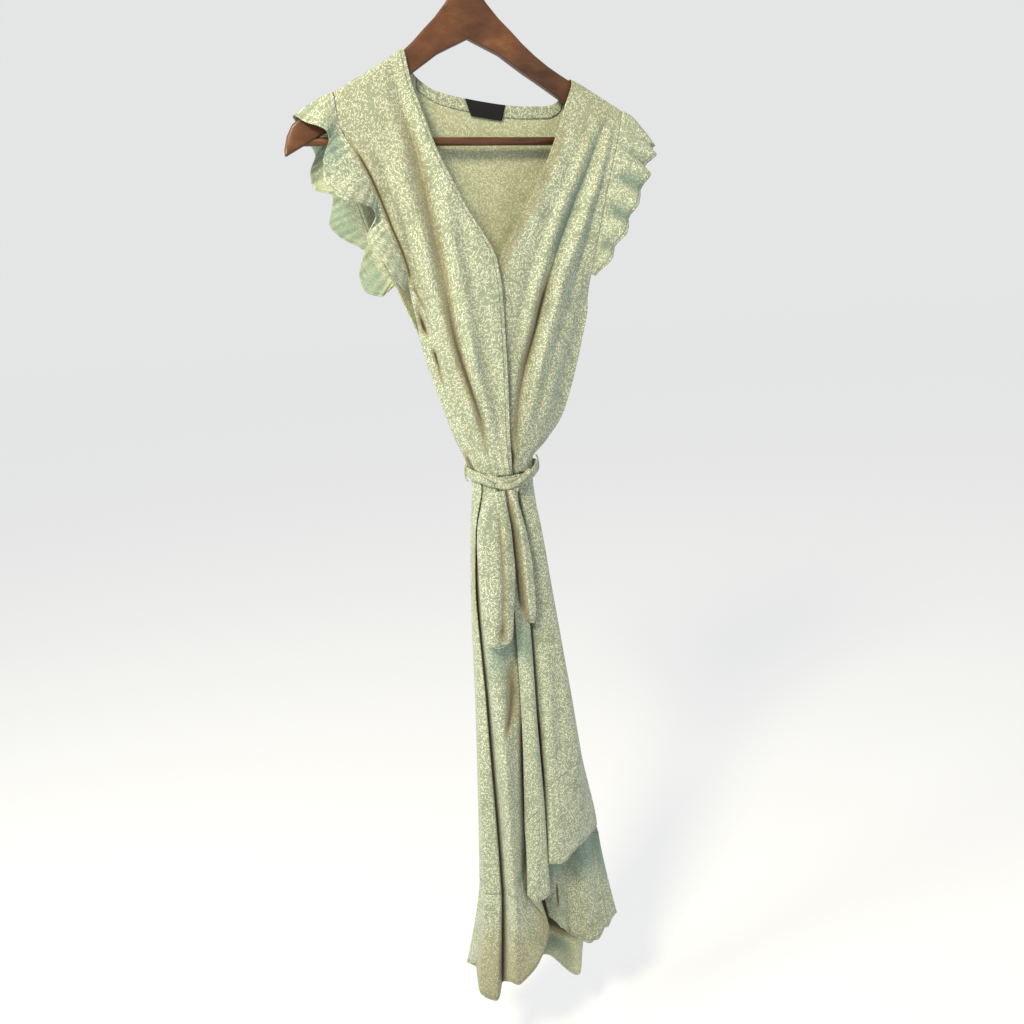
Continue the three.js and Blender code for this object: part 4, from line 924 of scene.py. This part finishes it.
def skirt_panel(name, folds, hem, face, seed):
    def place(s, t):
        z = mixed(WAIST - SEAM_GAP, hem_line(hem, 0, s) + seam_gap(s), t)
        x, y = skirt_line(folds, z, s)
        inside = rounded(np.minimum(s, 1 - s) / 0.04)
        y = y + inside * eased_step(-z, 630, 760) * ripples(x, z, seed, 19, 260, 0.9)
        y = y + inside * (1 - eased_step(-z, 622, 720)) * 0.5 * gathers(s, 9.7)
        y = clear_of_middle(y, face)
        # painted shade in the creases, fading in below the waist
        painted_shade = painted_crease_shade(folds, s) * eased_step(-z, 610, 700)
        if face < 0:
            y, painted_shade = front_shading(x, y, z, painted_shade)
        # painted cool shadow under the over front's hem
        if name == "under":
            painted_shade = painted_shade - spot((z + 1090) / 45)
        return x, y, z, painted_shade

    return place


def skirt_frill(name, folds, hem, face, seed):
    def place(s, t):
        seam = hem_line(hem, 0, s)
        top_x, top_y = skirt_line(folds, seam, s)
        ease = t**1.25
        x = mixed(top_x, hem_line(hem, 1, s), ease)
        y = mixed(top_y, hem_line(hem, 2, s), ease)
        z = mixed(seam - seam_gap(s), hem_line(hem, 3, s), t)
        puckers = np.cos(s * 210 + 2 * np.sin(s * 33 + seed)) * np.exp(-5 * t) * np.sqrt(t)
        edge = np.minimum(s, 1 - s)
        y = y + rounded(edge / 0.04) * 2.0 * puckers
        waves = 1.5 * np.sin(s * 47 + seed) + 0.5 * np.sin(s * 91 + 2 * seed)
        y = y + rounded(edge / 0.22) ** 2 * ease * waves
        corner = (name != "back") * ease**3 * (1 - rounded((1 - s if name == "over" else s) / 0.07))
        z = z + 0.8 * ease * np.sin(s * 39 + seed) + 9 * corner
        x = x - 7 * corner * (1 if name == "over" else -1)
        y = clear_of_middle(y, face)
        # painted shade in the creases, half as strong at the hem
        painted_shade = painted_crease_shade(folds, s) * (1 - 0.5 * ease)
        inside_painted_shade = painted_shade
        # painted shade, darker towards the hem on the left
        if name == "over":
            painted_shade = painted_shade + 0.72 * eased_step(-z, 1110, 1240) * (1 - eased_step(x, 30, 60))
        # painted shade on the under frill: darker down the frill, a cool shadow under the over hem, cooler at
        # its right end, a dark crease line and a dark spot
        if name == "under":
            painted_shade = painted_shade + 0.3 * t - 1.1 * spot((z + 1100) / 48) - 0.45 * eased_step(s, 0.83, 0.87)
            painted_shade = painted_shade + 1.3 * spot((s - 0.835) / 0.007) * eased_step(t, 0.1, 0.3)
            painted_shade = painted_shade + 3 * spot((x - 28) / 2.1, ((z + 1162) / 16) ** 2)
        # painted shade on the inside of the back frill: dark above, cool near its hem
        if name == "back":
            inside_painted_shade = 2 * eased_step(z, -1262, -1236) - 0.9 * spot((z + 1268) / 16, (x - 35) / 22)
        return x, y, z, painted_shade, (1 - t) * 0.12 + 0.0012, inside_painted_shade

    return place


for name, folds, hem, face, seed, cut_size, frill_size in (
    ("back", BACK_SKIRT, BACK_HEM, 1, 21, (0.21, 0.53), (0.35, 0.125)),
    ("under", UNDER_SKIRT, UNDER_HEM, -1, 22, (0.09, 0.47), (0.14, 0.14)),
    ("over", OVER_SKIRT, OVER_HEM, -1, 23, (0.22, 0.45), (0.37, 0.11)),
):
    fold_steps = len(folds) - 1
    cloth = skirt_panel(name, folds, hem, face, seed)
    panel = hang(f"skirt_{name}_crepe", cloth, fold_steps * 12 + 1, 150, outside=face)
    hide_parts(f"skirt_{name}")
    cloth = skirt_frill(name, folds, hem, face, seed)
    frill = hang(f"hem_frill_{name}_crepe", cloth, fold_steps * 16 + 1, 44, outside=face)
    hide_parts(f"hem_frill_{name}")

# The belt: a long flat tube of the same crepe, drawn tight round the waist, crossed in a half knot at the
# front, with its two ends hanging down. A thread loop at each side holds it.
BELT_HALF_WIDTH = 42.4
BELT_HALF_DEPTH = 30
BELT_SAG = 14.5


def belt_band(s, t):
    angle = 2 * math.pi * s
    round_ = 2 * math.pi * t
    flat = 1.8 * np.cos(round_) * (1 - 0.15 * np.sin(angle * 7))
    tall = 6 * np.sign(np.sin(round_)) * np.abs(np.sin(round_)) ** 0.7
    crush = 0.35 * np.sin(angle * 26 + tall) + 0.25 * np.sin(angle * 9 + 1)
    x = (BELT_HALF_WIDTH + flat + crush * np.cos(round_)) * np.cos(angle)
    y = -0.5 + (BELT_HALF_DEPTH + flat + crush * np.cos(round_)) * np.sin(angle)
    z = -600 - BELT_SAG * np.maximum(0, -np.sin(angle)) ** 2 + tall
    return x, y, z


def roll_of_cloth(name, place, along, cut_length, ring=False, painted_rim_shade=0.0):
    """A closed roll of cloth from place(s, t), in mm: s runs along it, t round it; the last argument sets the
    painted dark shade along its upper and lower edges.
    """
    s, t = np.meshgrid(along, np.arange(20) / 20)
    number = np.arange(s.size).reshape(s.shape)
    below = np.roll(number, -1, axis=0)
    quads = np.stack([number, below, np.roll(below, -1, axis=1), np.roll(number, -1, axis=1)], -1)
    ends = []
    if not ring:
        quads = quads[:, :-1]
        ends = [number[:, 0].tolist(), number[::-1, -1].tolist()]
    faces = quads.reshape(-1, 4).tolist() + ends
    flat = np.stack([s * cut_length, t * 0.03], -1)
    shades = {"fold": painted_rim_shade * np.cos(2 * math.pi * t) ** 4}
    roll = cloth_mesh(name, np.stack(place(s, t), -1), faces, flat, shades, [crepe_out])
    face_outward(roll)
    bpy.ops.object.shade_smooth()
    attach(roll, "root")
    return roll


band = roll_of_cloth("belt_band_crepe", belt_band, np.arange(260) / 260, 0.235, ring=True)
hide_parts("belt_band")

STRAND_HIGH = 8
STRAND_THICK = 5
STRANDS = [
    # name, then the points of its middle line (x, y, z)
    ("belt_knot_level", [(-19, -34, -613), (-8, -38, -616), (6, -37.5, -613), (25, -31.5, -602)]),
    ("belt_knot_turn", [(-27, -29.5, -602), (-16, -34.7, -609), (-4, -36.2, -617), (7, -35, -622)]),
]


def strand(points):
    """One strand of the knot, a flat oval roll of cloth through a few points."""
    def place(s, t):
        lines = list(zip(*points))
        x, y, z = (traced(line, s) for line in lines)
        after, before = np.clip(s + 0.01, 0, 1), np.clip(s - 0.01, 0, 1)
        along_x, _, along_z = (traced(line, after) - traced(line, before) for line in lines)
        size = np.sqrt(along_x**2 + along_z**2) + 1e-9
        turn = 2 * math.pi * t
        swell = 1 + 0.07 * np.sin(turn * 3 + s * 9)
        high = STRAND_HIGH / 2 * np.cos(turn) * swell
        thick = STRAND_THICK / 2 * np.sin(turn) * swell
        return x - along_z / size * high, y + thick, z + along_x / size * high

    return place


along = np.linspace(0, 1, 40)
# the knot's strands get painted dark shade along their upper and lower edges, so their outlines show
level, turned = (roll_of_cloth(name, strand(points), along, 0.05, painted_rim_shade=1.7) for name, points in STRANDS)
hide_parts("belt_knot")

LEFT_TAIL = [
    # z, left and right edge, y of the edges, how far the middle stands forward
    (-620, -28, -11, -38.5, 2.5), (-634, -39.5, -10.5, -42, 5), (-662, -48, -8.5, -44.5, 9),
    (-700, -51, -8, -46, 11), (-742, -52, -11.5, -46.5, 11.5), (-768, -51.5, -15.5, -46.5, 11),
    (-784, -51, -17, -47, 9), (-792, -49.5, -19, -47.5, 7.5), (-797, -46, -23, -48, 6),
    (-800, -41.5, -28.5, -48, 5), (-801.5, -37, -33, -48, 4),
]
RIGHT_TAIL = [
    (-620, -8, 1, -38.5, 2), (-645, -7, 5.5, -41.5, 4), (-675, -5.5, 10.5, -44, 6), (-705, -5, 13, -46, 7),
    (-740, -4, 14, -47, 7), (-765, -1, 14, -47, 6), (-779, 4, 11.5, -47.5, 3),
]


def belt_end(rows, seed):
    at, *columns = zip(*rows)
    left, right, edge, deep = (flow(at, column) for column in columns)

    def place(s, t):
        z = mixed(at[0], at[-1], t)
        turn = (s - 0.5) * math.pi * 1.1
        x = (left(z) + right(z)) / 2 + (right(z) - left(z)) / 2 * np.sin(turn)
        y = edge(z) - deep(z) * np.cos(turn)
        y = y + eased_step(t, 0, 0.15) * (0.8 * np.sin(s * 14 + t * 5 + seed) + 0.5 * np.sin(t * 23 + s * 6))
        rim = np.minimum(np.minimum(s, 1 - s) * 0.05, (1 - t) * 0.19 + 0.001)
        if rows is LEFT_TAIL:
            # a groove and a pit on the left tail, pressed in and painted with dark shade
            line = np.exp(-np.abs((s - 0.585 + 0.03 * t) / 0.06) ** 1.4) * eased_step(t, 0.05, 0.25)
            line = line * (1 - eased_step(t, 0.86, 0.95))
            pit = spot((s - 0.54) / 0.11, (t - 0.91) / 0.055)
            y = y - 3 * eased_step(t, 0.3, 0.9) + 3.5 * line + 4 * pit
            return x, y, z, 0.9 * line + 1.0 * pit, rim
        # the right tail's inner half lies back in painted dark shade, darkest along its fold and at its left
        # edge
        inner = 1 - eased_step(s, 0.3, 0.52)
        pit = (1 - eased_step(s, 0.12, 0.3)) * (1 - eased_step(t, 0.8, 1))
        deepest = spot((s - 0.3) / 0.11) * eased_step(t, 0.05, 0.3) * (1 - eased_step(t, 0.85, 1))
        y = y + 6.5 * inner * eased_step(t, 0.03, 0.3)
        return x, y, z, 0.7 * inner + 1.1 * pit + 0.9 * deepest, rim

    return place


for which, rows, seed, cut_size in (
    ("left", LEFT_TAIL, 1, (0.045, 0.19)),
    ("right", RIGHT_TAIL, 2, (0.023, 0.16)),
):
    end = hang(f"belt_end_{which}_crepe", belt_end(rows, seed), 60, 130, outside=-1)
    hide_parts(f"belt_end_{which}")

# The thread loops at the side seams that the belt runs through: a short length of twisted thread each,
# 1.6 mm thick, sewn down at both ends.
THREAD_RADIUS = 0.0008
LOOP_PLACES = [(42.6, -2, -611), (45.6, -2, -605), (45.6, -2, -595), (43.4, -2, -589)]
loop_line = [traced(column, np.linspace(0, 1, 25)) / 1000 for column in zip(*LOOP_PLACES)]
thread = Finish("loop_thread", Roughness=0.8, Sheen_Weight=0.3)
turns = {"Vector": thread.node("ShaderNodeTexCoord", output=3), "Scale": 420.0, "Distortion": 1.0}
twist = thread.node("ShaderNodeTexWave", {"bands_direction": "Z"}, turns)
thread.paint(
    Base_Color=thread.blend(twist * 1.0, (0.27, 0.32, 0.18), (0.4, 0.46, 0.29)),
    Normal=thread.bump(twist, 0.0003, 0.6),
)
for name, turn_side in (("belt_carrier_left", -1), ("belt_carrier_right", 1)):
    places = [(turn_side * x, y, z) for x, y, z in zip(*loop_line)]
    loop_piece = round_wire(name + "_thread", places, THREAD_RADIUS, 3)
    bpy.ops.object.shade_smooth()
    loop_piece.data.materials.append(thread.material)
    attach(loop_piece, "root")
    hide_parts(name)

# The stage: a pale floor well under the hem, soft daylight from the upper left and the photograph's camera,
# which stands to the viewer's left and looks down a little.
FLOOR_HEIGHT = -1.40
bpy.ops.mesh.primitive_plane_add(size=60, location=(0, 0, FLOOR_HEIGHT))
floor = bpy.context.object
floor.name = "pale_floor"
paper = Finish("pale_floor", Roughness=0.95, Specular_IOR_Level=0.1, Base_Color=(0.5, 0.5, 0.5, 1),
               Emission_Color=(0.99, 0.995, 1, 1), Emission_Strength=0.378)
floor.data.materials.append(paper.material)

world = bpy.data.worlds.new("studio")
bpy.context.scene.world = world
world.use_nodes = True
sky = world.node_tree.nodes["Background"]
sky.inputs["Color"].default_value = (0.93, 0.935, 0.94, 1)
sky.inputs["Strength"].default_value = 0.84

for name, place, aim, size, power, colour in (
    # place, point it faces, edge in metres, watts, colour
    ("window", (-1.1, -1.25, 0.75), (0, 0, -0.3), 0.4, 50, (1.0, 0.885, 0.64)),
    ("side window", (-2.0, -0.45, -0.1), (0, 0, -0.4), 0.5, 27, (0.95, 1.0, 0.9)),
    ("fill", (1.7, -1.2, -0.4), (0, 0, -0.6), 1.2, 5, (0.75, 0.92, 1.0)),
):
    lamp = bpy.data.lights.new(name, "AREA")
    lamp.size = size
    lamp.energy = power
    lamp.color = colour
    stand = bpy.data.objects.new(name, lamp)
    stand.location = place
    stand.rotation_euler = (Vector(aim) - Vector(place)).to_track_quat("-Z", "Y").to_euler()
    bpy.context.collection.objects.link(stand)

CAMERA_DOWN = math.radians(12)
CAMERA_ROUND = math.radians(18)
CAMERA_ROLL = math.radians(4.2)
CAMERA_PLACE = (0.0085, -1.158, -0.408)
to_side = Matrix.Rotation(-CAMERA_ROUND, 3, "Z")
stand_at = to_side @ Vector(CAMERA_PLACE)
ahead = to_side @ Vector((0, math.cos(CAMERA_DOWN), -math.sin(CAMERA_DOWN)))
level = to_side @ Vector((1, 0, 0))
upward = to_side @ Vector((0, math.sin(CAMERA_DOWN), math.cos(CAMERA_DOWN)))
right_way = math.cos(CAMERA_ROLL) * level - math.sin(CAMERA_ROLL) * upward
up_way = math.sin(CAMERA_ROLL) * level + math.cos(CAMERA_ROLL) * upward
lens = bpy.data.cameras.new("camera")
lens.lens = 35
lens.sensor_width = 36
camera = bpy.data.objects.new("camera", lens)
camera.matrix_world = Matrix.Translation(stand_at) @ Matrix((right_way, up_way, -ahead)).transposed().to_4x4()
bpy.context.collection.objects.link(camera)
bpy.context.scene.camera = camera
bpy.context.scene.view_settings.view_transform = "Standard"
